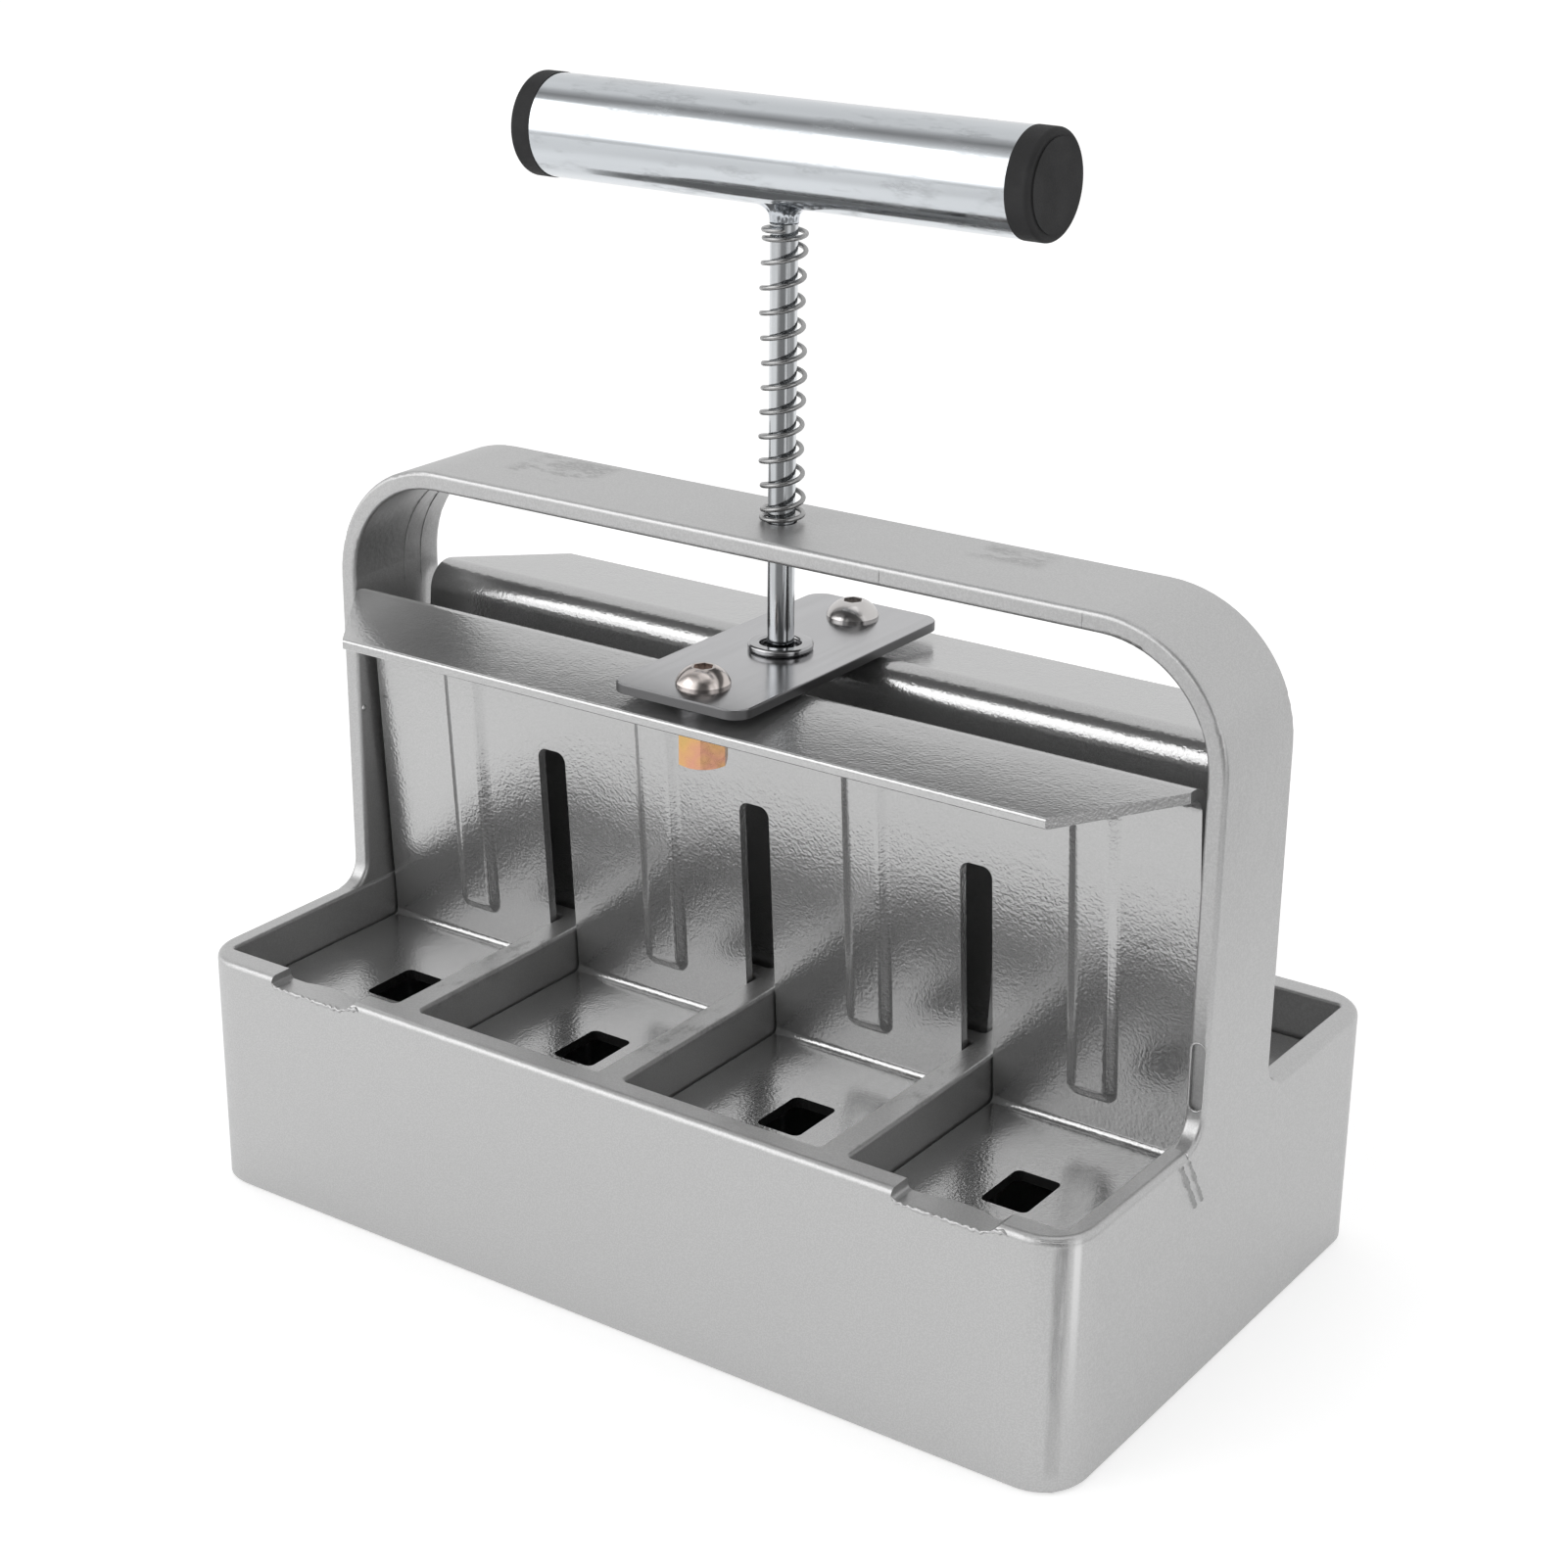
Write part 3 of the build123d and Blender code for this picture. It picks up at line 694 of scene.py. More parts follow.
class WeldSettings(bpy.types.PropertyGroup):
    """Weld bead under the handle tube."""
    reach: length_setting("Reach", "Radius of the bead where it meets the tube", 6.8 * MM)
    ripples: IntProperty(name="Ripples", description="Ripples round the bead", default=16, min=0)
    ripple_height: length_setting("Ripple height", "Height of one ripple", 0.12 * MM)


class RibSettings(bpy.types.PropertyGroup):
    """Pressed ribs over the cells."""
    crown: length_setting("Crown", "Height of a rib above the web", 1.4 * MM)
    core: length_setting("Core", "Half the width of a rib's flat top", 3.2 * MM)
    flank: length_setting("Flank", "Width of a rib's rounded flank", 3.2 * MM)
    pitch: length_setting("Pitch", "Distance between two ribs", 56.6 * MM)
    shift: length_setting("Shift", "Row of ribs from the plate's middle", 1.5 * MM)


class MarkSettings(bpy.types.PropertyGroup):
    """Small raised marks that the casting keeps."""
    seam: length_setting("Seam", "Radius of the parting seams", 0.22 * MM)
    burr: length_setting("Burr", "Radius of the burrs at the broken gates", 0.4 * MM)
    crease: length_setting("Crease", "Radius of the creases beside the arch's foot", 0.9 * MM)
    tick: length_setting("Tick", "Radius of the short seams across the arch", 0.16 * MM)


class StageSettings(bpy.types.PropertyGroup):
    """Floor, lamps and camera."""
    floor_glow: FloatProperty(
        name="Floor glow", description="Light that the floor shows to the camera", default=0.5)
    floor_seen: FloatProperty(
        name="Floor in metal", description="Brightness that the floor gains in reflections", default=0.36)
    floor_tone: share_setting("Floor tone", "Paleness of the floor", 0.8)
    wall_height: length_setting("Wall height", "Height of the low wall in front", 0.22)
    wall_tone: FloatProperty(name="Wall tone", description="Brightness of the low wall", default=0.7)
    wall_crest: FloatProperty(
        name="Wall crest", description="Brightness along the top of the low wall in front", default=1.8)
    key_power: power_setting("Key power", "Power of the front left softbox", 3.0)
    top_power: power_setting("Top power", "Power of the softbox overhead", 1.0)
    side_power: power_setting("Side power", "Power of the softbox at the right", 1.0)
    camera_azimuth: angle_setting("Camera azimuth", "Turn of the camera round the object", 34.958)
    camera_elevation: angle_setting("Camera elevation", "Camera above the horizon", 21.317)
    camera_roll: angle_setting("Camera roll", "Camera turned about its own axis", 0.454)
    camera_distance: length_setting("Camera distance", "Camera to the point it looks at", 0.6648)
    camera_target: FloatVectorProperty(
        name="Camera target", description="Point that the camera looks at", subtype="XYZ", unit="LENGTH",
        default=(-0.0023, 0.0, 0.1048))
    camera_lens: FloatProperty(
        name="Lens", description="Focal length in millimetres on a 36 mm sensor", default=67.85)
    camera_shift: FloatProperty(
        name="Shift", description="Sideways shift of the lens, as a share of the picture", default=0.0084)


class BlockerSettings(bpy.types.PropertyGroup):
    """Everything that a user would change on the soil blocker."""
    cast: part_settings(CastSettings, "Casting", "Paint of the mould and arch")
    plates: part_settings(PlateSettings, "Press plates", "Paint of the press plates")
    ribs: part_settings(RibSettings, "Ribs", "Form of the press plates' ribs")
    marks: part_settings(MarkSettings, "Casting marks", "Flash and burrs of the casting")
    tube: part_settings(TubeSettings, "Tube", "Plating of the handle tube")
    steel: part_settings(SteelSettings, "Rod", "Plating of the rod and weld")
    screws: part_settings(ScrewSettings, "Screws", "Plating of the screws")
    collar: part_settings(CollarSettings, "Collar", "Plating of the collar and washers")
    bridge: part_settings(BridgeSettings, "Bridge plate", "Finish of the bridge plate")
    wire: part_settings(WireSettings, "Wire", "Finish of the spring's wire")
    nuts: part_settings(NutSettings, "Nuts", "Yellow plating of the nuts")
    caps: part_settings(PlasticSettings, "End caps", "Plastic of the end caps")
    spring: part_settings(SpringSettings, "Spring", "Form of the return spring")
    weld: part_settings(WeldSettings, "Weld", "Form of the weld bead")
    stage: part_settings(StageSettings, "Stage", "Floor, lamps and camera")


def settings():
    """The scene's soil blocker settings."""
    return bpy.context.scene.soil_blocker


# ---------------------------------------------------------------- operators

class SOILBLOCKER_OT_mould(bpy.types.Operator):
    """Paint the mould casting with its arch, and raise its seams, burrs and creases."""
    bl_idname = "soil_blocker.mould"
    bl_label = "Mould casting"

    def execute(self, context):
        given = settings()
        paint = cast_paint(given.cast)
        dress(paint, "mould_body")
        low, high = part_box("mould_body")
        for name, path, radius, ragged, closed in self.marks(given.marks, low, high):
            piece = new_piece(name, ridge_mesh(name, path, radius, ragged, closed), paint, "mould")
        return {"FINISHED"}

    def marks(self, marks, low, high):
        """Name, path, radius, raggedness and closedness of each raised mark."""
        front, end, top = low.y, high.x, high.z
        inside, under = end - STRAP, top - STRAP
        foot, fine, rear_points = 130 * MM, 0.4 * MM, 40
        rear_seam = self.inner_seam(high, 8.4 * MM, foot)[:rear_points]
        yield "seam_inner", self.inner_seam(high, 2.5 * MM, foot), marks.seam, 0.5, False
        yield "seam_inner_rear", rear_seam, marks.seam * 0.8, 0.5, False
        for label, x in (("left", 35.1 * MM), ("right", 83.2 * MM)):
            across = [Vector((x, -STRAP_HALF, top - 0.6 * MM)), Vector((x, -STRAP_HALF, under + 0.4 * MM))]
            yield "seam_tick_" + label, along(across, fine), marks.tick, 0.2, False
        across = [Vector((inside + 0.8 * MM, -STRAP_HALF, 137.7 * MM)),
                  Vector((end - 0.6 * MM, -STRAP_HALF, 138.1 * MM))]
        yield "seam_tick_leg", along(across, fine), marks.tick, 0.2, False
        for label, x in (("left", -81.0 * MM), ("right", 88.3 * MM)):
            yield "gate_burr_" + label, self.gate_burr(x, front), marks.burr, 0.55, False
        sunk = end - marks.crease * 0.5
        outer = [Vector((sunk, -24.9 * MM, 57.2 * MM)), Vector((sunk, -16.0 * MM, 42.8 * MM))]
        inner = [Vector((sunk, -21.4 * MM, 57.0 * MM)), Vector((sunk, -13.0 * MM, 43.0 * MM))]
        yield "crease_outer", along(outer, 0.5 * MM), marks.crease, 0.25, False
        yield "crease_inner", along(inner, 0.5 * MM), marks.crease * 0.85, 0.25, False
        drip = [Vector((-inside, -13.8 * MM, 102.6 * MM)), Vector((-inside, -13.9 * MM, 104.6 * MM))]
        yield "paint_drip", along(drip, 0.3 * MM), marks.burr * 1.9, 0.1, False
        yield "pocket_lip", self.pocket_lip(end), marks.seam * 1.1, 0.3, True
        yield "corner_burr", self.corner_burr(end, front), marks.burr * 0.9, 0.45, False

    def inner_seam(self, high, y, foot):
        """Along the inside of the arch at one depth, from the left leg round the shoulder and the bar."""
        inside, under = high.x - STRAP, high.z - STRAP
        radius, steps = SHOULDER - STRAP, 40
        path = along([Vector((-inside, y, foot)), Vector((-inside, y, under - radius))], 0.8 * MM)
        for i in range(1, steps + 1):
            angle = math.radians(180 - 90 * i / steps)
            path.append(Vector((radius - inside + radius * math.cos(angle), y,
                                under - radius + radius * math.sin(angle))))
        bar = along([path[-1], Vector((-30 * MM, y, under))], 1.2 * MM)
        return path + bar[1:]

    def gate_burr(self, x, front):
        """Along the broken edge in front of a gate's gap."""
        floor, lip = RIM - 2.6 * MM, RIM - 1.4 * MM
        skin = front + 0.1 * MM
        outline = ((-12.6 * MM, lip), (-12.2 * MM, floor + 0.6 * MM), (-10.8 * MM, floor), (8.5 * MM, floor),
                   (12.8 * MM, floor + 1.6 * MM), (15.0 * MM, lip))
        path = along([Vector((x + aside, skin, z)) for aside, z in outline], 0.6 * MM)
        return [point + Vector((0, 0, 0.18 * MM * math.sin(1.7 * i) + 0.12 * MM * math.sin(4.1 * i)))
                for i, point in enumerate(path)]

    def pocket_lip(self, end):
        """Round the shallow pocket in the front of the right leg."""
        middle_x, middle_z = end - STRAP / 2, RIM + 14.3 * MM
        radius, straight = 1.7 * MM, 6.05 * MM
        path = []
        for angle in circle(24):
            lift = straight if math.sin(angle) >= 0 else -straight
            path.append(Vector((middle_x + radius * math.cos(angle), -STRAP_HALF,
                                middle_z + lift + radius * math.sin(angle))))
        return along(path + path[:1], 0.8 * MM)[:-1]

    def corner_burr(self, end, front):
        """On the rim over the front right corner."""
        corner, steps = 11 * MM, 18
        reach, height = corner - 0.4 * MM, RIM - 0.7 * MM
        turn = [math.radians(-78 + 46 * i / steps) for i in range(steps + 1)]
        return [Vector((end - corner + reach * math.cos(a), front + corner + reach * math.sin(a), height))
                for a in turn]


class SOILBLOCKER_OT_plates(bpy.types.Operator):
    """Paint both press plates and round off their pressed ribs."""
    bl_idname = "soil_blocker.plates"
    bl_label = "Press plates"

    def execute(self, context):
        given = settings()
        cells = 4
        paint = plate_paint(given.plates)
        dress(paint, "press_plate_front", "press_plate_rear")
        context.view_layer.update()
        for label, side in (("front", -1), ("rear", 1)):
            plate = NODES["press_plate_" + label]
            for i in range(cells):
                x = side * ((i - (cells - 1) / 2) * given.ribs.pitch - given.ribs.shift)
                name = f"rib_{label}_{i + 1}"
                piece = new_piece(name, self.rib(name, plate, x, side, given.ribs), paint, "plunger")
        return {"FINISHED"}

    def skin(self, plate, x, z, side):
        """Where the plate's outer face lies at a place across and up."""
        outside = 300 * MM
        found, point, _, _ = plate.ray_cast(Vector((x, side * outside, z)), Vector((0, -side, 0)))
        if not found:
            raise RuntimeError(f"no press plate at {x:.4f}, {z:.4f}")
        return point.y * side

    def web(self, plate, x, side):
        """A function for how far out the leaning web lies at a height, taken beside the ribs."""
        low, high = 65 * MM, 100 * MM
        reach = self.skin(plate, x, low, side)
        slope = (self.skin(plate, x, high, side) - reach) / (high - low)
        return lambda z: reach + (z - low) * slope

    def pressed_span(self, plate, x, side, web):
        """Lower and upper end of the pressed rib's full height, below the bend."""
        bend, least, most, rounding = 126 * MM, 0.8 * MM, 2 * MM, 1.2 * MM
        raised = [z for z in between(45 * MM, 135 * MM, 180)
                  if z < bend and least < self.skin(plate, x, z, side) - web(z) < most]
        return min(raised) + rounding, max(raised) - rounding

    def rib(self, name, plate, x, side, ribs):
        """A softly rounded rib over one pressed rib, its border sunk into the web."""
        web = self.web(plate, x + ribs.core + ribs.flank + 1.5 * MM, side)
        bottom, top = self.pressed_span(plate, x, side, web)
        half = ribs.core + ribs.flank + 0.6 * MM
        turn, sunk, behind = 1 * MM, 0.03 * MM, 0.6 * MM
        rows = between(bottom - half, bottom + turn, 16) + between(bottom + turn, top - turn, 14)
        rows += between(top - turn, top + half, 16) + [top + half]
        columns = 34
        rings = []
        for z in rows:
            beyond = max(bottom - z, z - top, 0.0)
            ring = []
            for i in range(columns + 1):
                aside = half * (2 * i / columns - 1)
                reach = math.hypot(max(abs(aside) - ribs.core, 0.0), beyond)
                share = max(0.0, 1 - reach / ribs.flank)
                height = ribs.crown * share * share * (3 - 2 * share) - sunk
                ring.append(Vector((x + aside, side * (web(z) + height), z)))
            ring += [Vector((x + aside, side * (web(z) - behind), z)) for aside in (half, -half)]
            rings.append(ring)
        return tube_mesh(name, rings)


class SOILBLOCKER_OT_bridge(bpy.types.Operator):
    """Finish the bridge plate with its screws, nuts, spacers and collar."""
    bl_idname = "soil_blocker.bridge"
    bl_label = "Bridge plate and screws"

    def execute(self, context):
        given = settings()
        fine = 0.8 * MM
        warm_tint = (1.0, 0.94, 0.91)
        dress(rolled_plate(given.bridge), "bridge_plate")
        dress(plated_metal("screw steel", given.screws, EVEN, fine, warm_tint), "clamp_screw_front")
        dress(plated_metal("rear screw steel", given.screws, EVEN, fine), "clamp_screw_rear")
        dress(plated_metal("collar chrome", given.collar, EVEN, fine), "rod_collar", "tail_washer",
              "tail_nut", "bridge_spacer_front", "bridge_spacer_rear")
        dress(yellow_zinc(given.nuts), "clamp_nut_front", "clamp_nut_rear")
        return {"FINISHED"}


class SOILBLOCKER_OT_handle(bpy.types.Operator):
    """Finish the tube, rod and end caps, and lay the weld bead."""
    bl_idname = "soil_blocker.handle"
    bl_label = "T-handle"

    def execute(self, context):
        given = settings()
        lengthwise, upwards = (0.06, 1.0, 1.0), (1.0, 1.0, 0.05)
        dress(plated_metal("tube zinc", given.tube, lengthwise, 0.6 * MM, handled=0.6), "handle_tube")
        dress(plated_metal("rod zinc", given.steel, upwards, 0.4 * MM), "plunger_rod")
        dress(moulded_plastic(given.caps), "end_cap_left", "end_cap_right")
        cool_tint = (0.95, 0.97, 1.0)
        weld = plated_metal("weld zinc", given.steel, EVEN, 0.6 * MM, cool_tint)
        piece = new_piece("weld_ripple", self.bead(given.weld), weld, "plunger")
        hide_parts("weld_bead")
        return {"FINISHED"}

    def bead(self, weld):
        """Flared bead from the rod up to the tube's underside, with low ripples."""
        tube_low, tube_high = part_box("handle_tube")
        rod_low, rod_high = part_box("plunger_rod")
        bead_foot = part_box("weld_bead")[0].z
        tube_radius = (tube_high.z - tube_low.z) / 2
        axis_height = (tube_high.z + tube_low.z) / 2
        rod_radius = (rod_high.x - rod_low.x) / 2 * 0.98
        skin, narrowing, flare, rise = 0.2 * MM, 0.22, 2.6, 0.62
        around, levels = 96, 18
        rings = []
        for level in range(levels + 1):
            climb = level / levels
            ring = []
            for angle in circle(around):
                narrow = 1.0 - narrowing * abs(math.sin(angle))
                reach = rod_radius + skin + (weld.reach * narrow - rod_radius) * climb ** flare
                reach += weld.ripple_height * math.sin(weld.ripples * angle) * math.sin(math.pi * climb)
                side = reach * math.sin(angle)
                top = axis_height - math.sqrt(tube_radius ** 2 - side ** 2) + skin
                height = bead_foot + (top - bead_foot) * climb ** rise
                ring.append((reach * math.cos(angle), side, height))
            rings.append(ring)
        return tube_mesh("weld_ripple", rings)


class SOILBLOCKER_OT_spring(bpy.types.Operator):
    """Wind the return spring round the rod."""
    bl_idname = "soil_blocker.spring"
    bl_label = "Return spring"

    def execute(self, context):
        given = settings()
        low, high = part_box("return_spring")
        finish = plated_metal("spring wire", given.wire, EVEN, 0.5 * MM)
        piece = new_piece("wound_spring", self.winding(given.spring, low, high), finish, "mould")
        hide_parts("return_spring")
        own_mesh(piece)
        return {"FINISHED"}

    def winding(self, spring, low, high):
        """The wire as one tube, its ends rounded off."""
        per_turn, glance = 40, 0.01
        steps = round(spring.turns * per_turn)
        rings = []
        for step in range(steps + 1):
            turn = spring.turns * step / steps
            centre = self.centre(spring, low, high, turn)
            ahead = (self.centre(spring, low, high, turn + glance) - centre).normalized()
            outward = Vector((centre.x, centre.y, 0)).normalized()
            upward = ahead.cross(outward).normalized()
            outward = upward.cross(ahead).normalized()
            for scale, shift in self.end_shape(step, steps):
                radius = spring.wire / 2 * scale
                middle = centre + ahead * shift * spring.wire
                rings.append([middle + (outward * math.cos(a) + upward * math.sin(a)) * radius
                              for a in circle(spring.sides)])
        return tube_mesh("wound_spring", rings)

    def end_shape(self, step, steps):
        """Section scales and places along the wire, more than one at the rounded ends."""
        full, narrowed, past = (1.0, 0.0), 0.72, 0.14
        if step == 0:
            return ((narrowed, -past), full)
        if step == steps:
            return (full, (narrowed, past))
        return (full,)

    def centre(self, spring, low, high, turn):
        """Middle of the wire after a number of turns from the lower end."""
        open_turns = spring.turns - 2 * spring.closed_turns
        rise = high.z - low.z - spring.wire
        open_pitch = (rise - 2 * spring.closed_turns * spring.closed_pitch) / open_turns
        height = low.z + spring.wire / 2
        height += min(turn, spring.closed_turns) * spring.closed_pitch
        height += min(max(turn - spring.closed_turns, 0), open_turns) * open_pitch
        height += max(turn - spring.closed_turns - open_turns, 0) * spring.closed_pitch
        radius = (high.y - low.y - spring.wire) / 2
        angle = spring.start + 2 * math.pi * turn
        sway = spring.sway * math.sin(2 * math.pi * turn / (open_turns / 2))
        return Vector((radius * math.cos(angle) + sway, radius * math.sin(angle), height))


# Degrees about the X axis from the back wall's foot, and the studio's brightness there.
WALLS = ((0, 0.87), (36, 0.84), (81, 0.80), (92, 0.48), (102, 0.27), (112, 0.50), (126, 0.86), (138, 1.34),
         (156, 1.42), (165, 1.85), (180, 1.85))


class SOILBLOCKER_OT_stage(bpy.types.Operator):
    """Lay the floor, hang the lamps and set up the camera."""
    bl_idname = "soil_blocker.stage"
    bl_label = "Stage"

    def execute(self, context):
        given = settings().stage
        context.scene.view_settings.view_transform = "Standard"
        self.floor(given)
        self.world(context.scene, given)
        self.low_wall(given)
        self.softbox("key", (-0.95, -1.0, 1.05), (1.1, 0.8), given.key_power)
        self.softbox("top", (0.15, -0.1, 1.7), (0.9, 0.9), given.top_power)
        self.softbox("side", (1.35, -0.25, 0.75), (0.8, 1.0), given.side_power)
        self.camera(context.scene, given)
        return {"FINISHED"}

    def floor(self, given):
        """A pale floor that looks white round the object and keeps its shadow."""
        near, far, level = 0.4, 6.0, -0.4 * MM
        rings = [[(r * math.cos(a), r * math.sin(a), level) for a in circle(64)] for r in (near, far)]
        mesh = tube_mesh("floor", rings, closed_ends=False)
        disc = bmesh.new()
        disc.from_mesh(mesh)
        inner = [edge for edge in disc.edges
                 if edge.is_boundary and edge.verts[0].co.length < (near + far) / 2]
        bmesh.ops.holes_fill(disc, edges=inner)
        bmesh.ops.recalc_face_normals(disc, faces=disc.faces)
        disc.to_mesh(mesh)
        disc.free()
        floor = bpy.data.objects.new("floor", mesh)
        bpy.context.scene.collection.objects.link(floor)
        mesh.materials.append(self.floor_finish(given))

    def floor_finish(self, given):
        """White to the camera. In metal it is pale near the object and darker further off."""
        material, tree, surface = start_finish("pale floor", {"Roughness": 0.9, "Specular IOR Level": 0.0})
        rays = add(tree, "ShaderNodeLightPath").outputs
        mirrored = calc(tree, "MAXIMUM", rays["Is Glossy Ray"], rays["Is Transmission Ray"])
        kept = self.floor_in_metal(tree, given)
        lost = product(tree, mirrored, rest_of(tree, kept))
        tree.links.new(product(tree, rest_of(tree, lost), given.floor_tone), surface.inputs["Base Color"])
        low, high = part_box("mould_body")
        wall, tall = 4 * MM, 1.0
        under = zone(tree, (low.x + wall, low.y + wall, -tall), (high.x - wall, high.y - wall, tall), 1 * MM)
        glow = calc(tree, "ADD", product(tree, rays["Is Camera Ray"], given.floor_glow),
                    product(tree, mirrored, product(tree, kept, given.floor_seen)))
        emission = add(tree, "ShaderNodeEmission", {"Strength": product(tree, glow, rest_of(tree, under))})
        both = add(tree, "ShaderNodeAddShader", {0: surface.outputs[0], 1: emission.outputs[0]})
        output = next(node for node in tree.nodes if node.type == "OUTPUT_MATERIAL")
        tree.links.new(both.outputs[0], output.inputs["Surface"])
        return material

    def floor_in_metal(self, tree, given):
        """Share of its light that the floor keeps in metal: all of it near the object, less far off in
        three directions, and more again along one strip beside the first."""
        place = object_place(tree)
        reach = add(tree, "ShaderNodeVectorMath", {0: place}, operation="LENGTH").outputs["Value"]
        far = remap(tree, reach, 0.28, 0.46)
        outward = unit(tree, place)
        # Turn from the camera's direction, where the dark begins and where it is full, and its depth.
        darkened = ((0.0, 0.35, 0.85, 0.78), (1.22, 0.80, 0.95, 0.65), (-1.35, 0.70, 0.95, 0.2))
        dark = 0.0
        for turn, low, high, depth in darkened:
            patch = product(tree, towards(tree, outward, given.camera_azimuth + turn, low, high), depth)
            dark = calc(tree, "MAXIMUM", dark, patch)
        strip = towards(tree, outward, given.camera_azimuth + 0.42, 0.975, 0.995)
        share = calc(tree, "MAXIMUM", rest_of(tree, product(tree, far, dark)), product(tree, far, strip, 0.7))
        return product(tree, share, remap(tree, reach, 1.1, 2.4, 1.0, 0.75))

    def low_wall(self, given):
        """A low wall across the front, grey below and bright along its top, seen only in metal."""
        count, reach, foot = 48, 1.1, -0.2 * MM
        half_round = [-math.pi * i / count for i in range(count + 1)]
        rings = [[(reach * math.cos(a), reach * math.sin(a), z) for a in half_round]
                 for z in (foot, given.wall_height)]
        mesh = tube_mesh("low_wall", rings, closed_ends=False, closed_round=False)
        wall = bpy.data.objects.new("low_wall", mesh)
        wall.visible_camera = False
        wall.visible_shadow = False
        bpy.context.scene.collection.objects.link(wall)
        material, tree, surface = start_finish(
            "grey wall", {"Base Color": (0.0, 0.0, 0.0, 1.0), "Specular IOR Level": 0.0})
        place = object_place(tree)
        outward = unit(tree, place)
        gap = towards(tree, outward, given.camera_azimuth, 0.80, 0.95)
        tone = remap(tree, parts_of(tree, place)[2], given.wall_height * 0.3, given.wall_height * 0.9,
                     given.wall_tone, given.wall_crest)
        surface.inputs["Emission Color"].default_value = (1.0, 1.0, 1.0, 1.0)
        strength = product(tree, rest_of(tree, product(tree, gap, 0.6)), tone)
        tree.links.new(strength, surface.inputs["Emission Strength"])
        mesh.materials.append(material)

    def world(self, scene, given):
        """A studio whose brightness goes round with the angle about the X axis, from the back wall over
        a dark ceiling to a bright front, with a dim gap behind the camera."""
        world = bpy.data.worlds.new("studio")
        scene.world = world
        world.use_nodes = True
        tree = world.node_tree
        direction = parts_of(tree, add(tree, "ShaderNodeTexCoord").outputs["Generated"])
        above = calc(tree, "MAXIMUM", direction[2], 0.0)
        angle = calc(tree, "DIVIDE", calc(tree, "ARCTAN2", above, direction[1]), math.pi)
        brightest = max(value for _, value in WALLS)
        stops = [(degrees / 180, (value / brightest,) * 3) for degrees, value in WALLS]
        strength = product(tree, ramp(tree, angle, stops), brightest)
        level = add(tree, "ShaderNodeCombineXYZ", {0: direction[0], 1: direction[1]}).outputs[0]
        gap = product(tree, towards(tree, unit(tree, level), given.camera_azimuth, 0.72, 0.98),
                      remap(tree, direction[2], 0.92, 0.75))
        rays = add(tree, "ShaderNodeLightPath").outputs
        twice_in_metal = product(tree, remap(tree, rays["Glossy Depth"], 1.2, 1.8),
                                 remap(tree, direction[2], 0.36, 0.44))
        dimming = 0.92
        for dimmed in (gap, twice_in_metal):
            strength = product(tree, strength, rest_of(tree, product(tree, dimmed, dimming)))
        seen = rays["Is Camera Ray"]
        strength = calc(tree, "ADD", product(tree, strength, rest_of(tree, seen)), seen)
        sky = tree.nodes["Background"].inputs
        sky["Color"].default_value = (1.0, 1.0, 1.0, 1.0)
        tree.links.new(strength, sky["Strength"])

    def softbox(self, name, place, size, power):
        """A rectangular softbox that looks at the object."""
        data = bpy.data.lights.new(name, "AREA")
        data.shape = "RECTANGLE"
        data.size, data.size_y = size
        data.energy = power
        lamp = bpy.data.objects.new(name, data)
        lamp.location = place
        aim = Vector((0, 0, 120 * MM)) - lamp.location
        lamp.rotation_euler = aim.to_track_quat("-Z", "Y").to_euler()
        bpy.context.scene.collection.objects.link(lamp)

    def camera(self, scene, given):
        """The photograph's viewpoint."""
        azimuth, elevation = given.camera_azimuth, given.camera_elevation
        back = Vector((math.sin(azimuth) * math.cos(elevation), -math.cos(azimuth) * math.cos(elevation),
                       math.sin(elevation)))
        right = Vector((0, 0, 1)).cross(back).normalized()
        up = back.cross(right)
        turn = given.camera_roll
        right, up = right * math.cos(turn) + up * math.sin(turn), up * math.cos(turn) - right * math.sin(turn)
        data = bpy.data.cameras.new("camera")
        data.lens = given.camera_lens
        data.shift_x = given.camera_shift
        data.clip_start, data.clip_end = 0.01, 50.0
        camera = bpy.data.objects.new("camera", data)
        place = Vector(given.camera_target) + back * given.camera_distance
        camera.matrix_world = Matrix.Translation(place) @ Matrix((right, up, back)).transposed().to_4x4()
        scene.collection.objects.link(camera)
        scene.camera = camera


class SOILBLOCKER_PT_panel(bpy.types.Panel):
    """Sidebar panel that lists the soil blocker's pieces."""
    bl_idname = "SOILBLOCKER_PT_panel"
    bl_label = "Soil blocker"
    bl_space_type = "VIEW_3D"
    bl_region_type = "UI"
    bl_category = "Soil blocker"

    def draw(self, context):
        for operator in OPERATORS:
            self.layout.operator(operator.bl_idname)


GROUPS = (CastSettings, PlateSettings, RibSettings, MarkSettings, TubeSettings, SteelSettings, ScrewSettings,
          CollarSettings, BridgeSettings, WireSettings, NutSettings, PlasticSettings, SpringSettings,
          WeldSettings, StageSettings, BlockerSettings)
OPERATORS = (SOILBLOCKER_OT_mould, SOILBLOCKER_OT_plates, SOILBLOCKER_OT_bridge, SOILBLOCKER_OT_handle,
             SOILBLOCKER_OT_spring, SOILBLOCKER_OT_stage)


def register():
    """Add the settings, the operators and the panel."""
    for each in (*GROUPS, *OPERATORS, SOILBLOCKER_PT_panel):
        bpy.utils.register_class(each)
    bpy.types.Scene.soil_blocker = PointerProperty(type=BlockerSettings)


def unregister():
    """Take them away again."""
    del bpy.types.Scene.soil_blocker
    for each in reversed((*GROUPS, *OPERATORS, SOILBLOCKER_PT_panel)):
        bpy.utils.unregister_class(each)


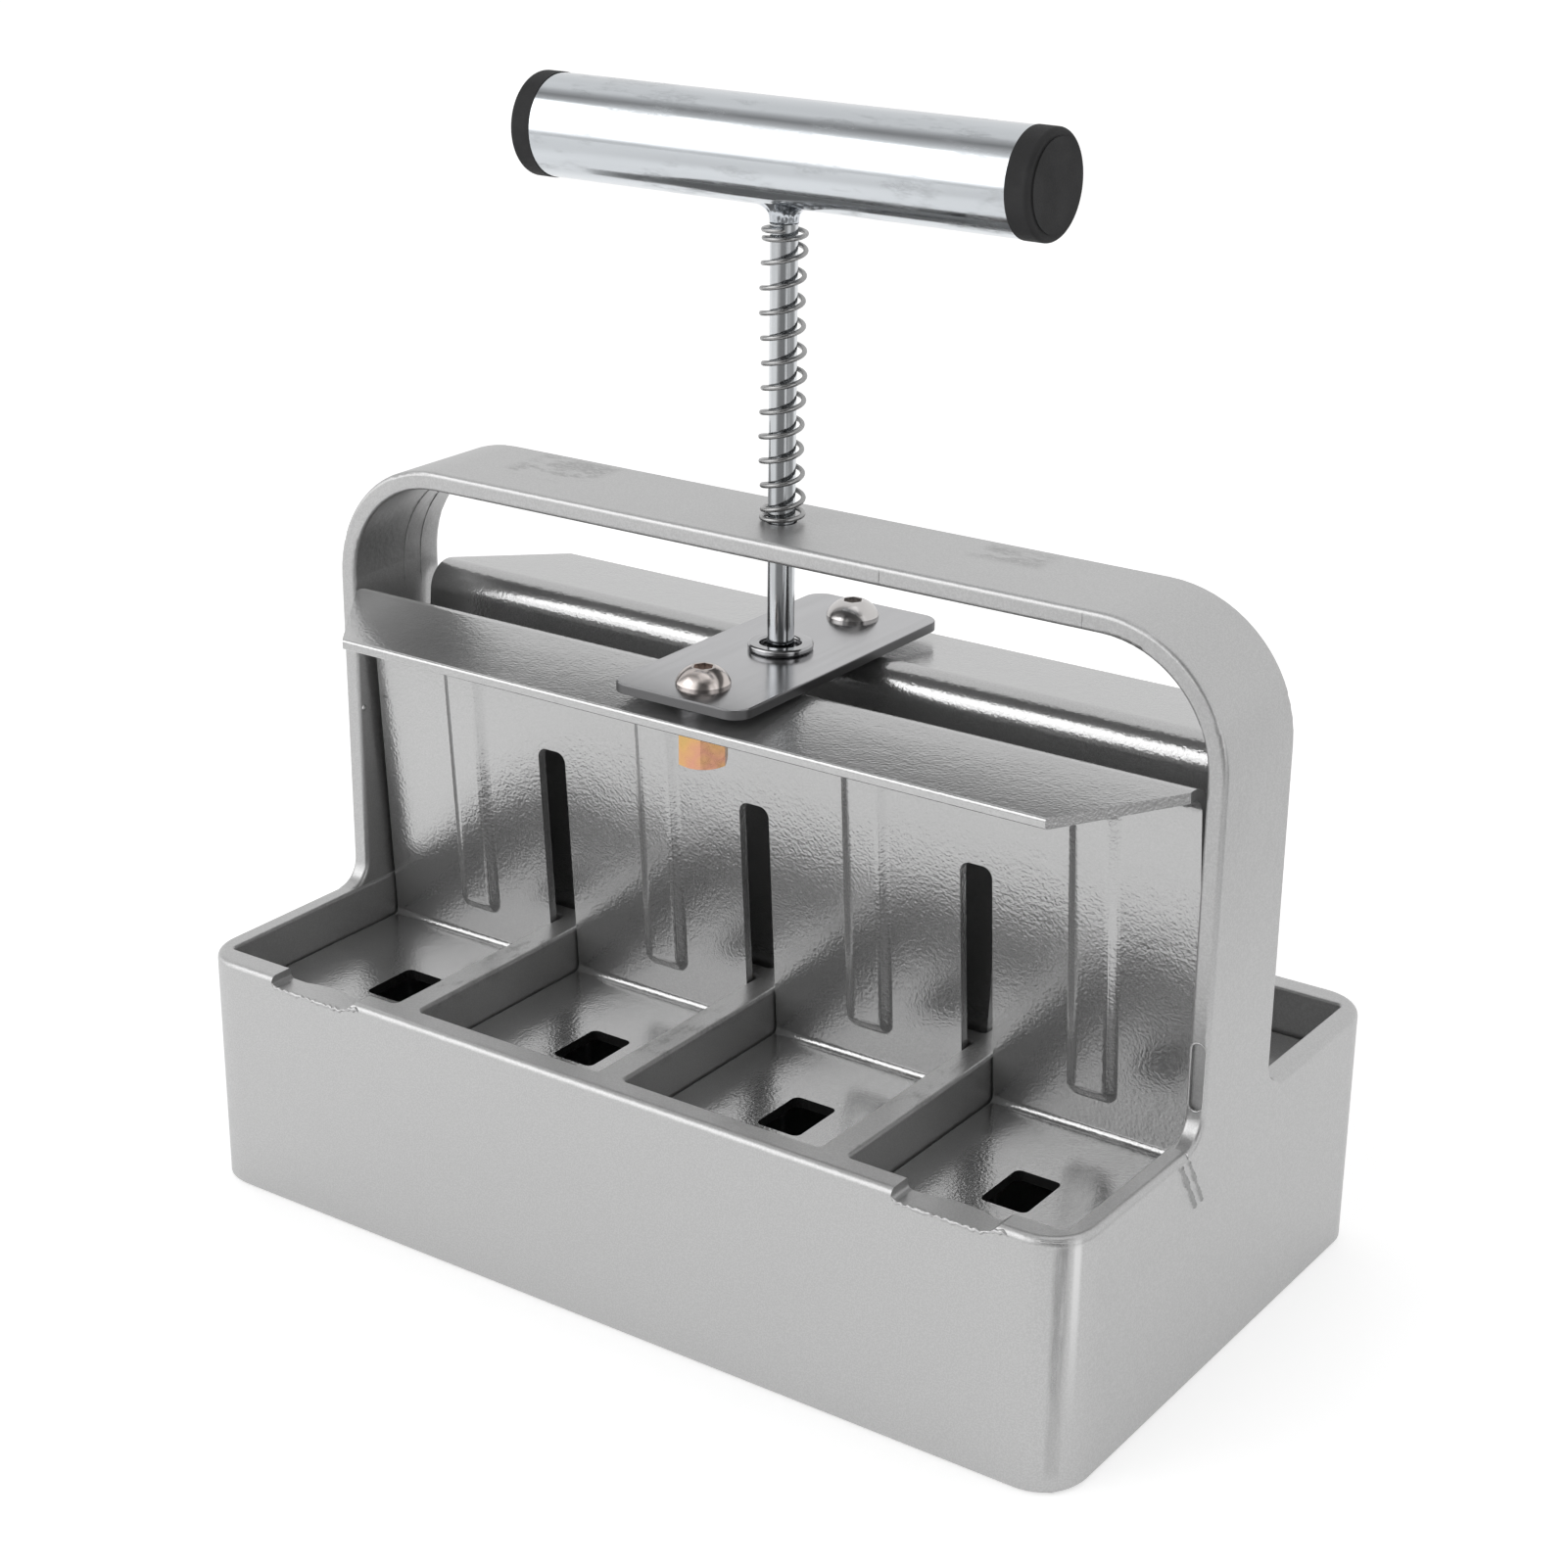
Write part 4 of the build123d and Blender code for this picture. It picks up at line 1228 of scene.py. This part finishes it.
def main():
    """Build every piece."""
    for each in list(bpy.data.objects):
        if each.name in ("Cube", "Light", "Camera"):
            bpy.data.objects.remove(each)
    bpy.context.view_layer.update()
    register()
    bpy.ops.soil_blocker.mould()
    bpy.ops.soil_blocker.plates()
    bpy.ops.soil_blocker.bridge()
    bpy.ops.soil_blocker.handle()
    bpy.ops.soil_blocker.spring()
    bpy.ops.soil_blocker.stage()


if __name__ == "__main__":
    main()
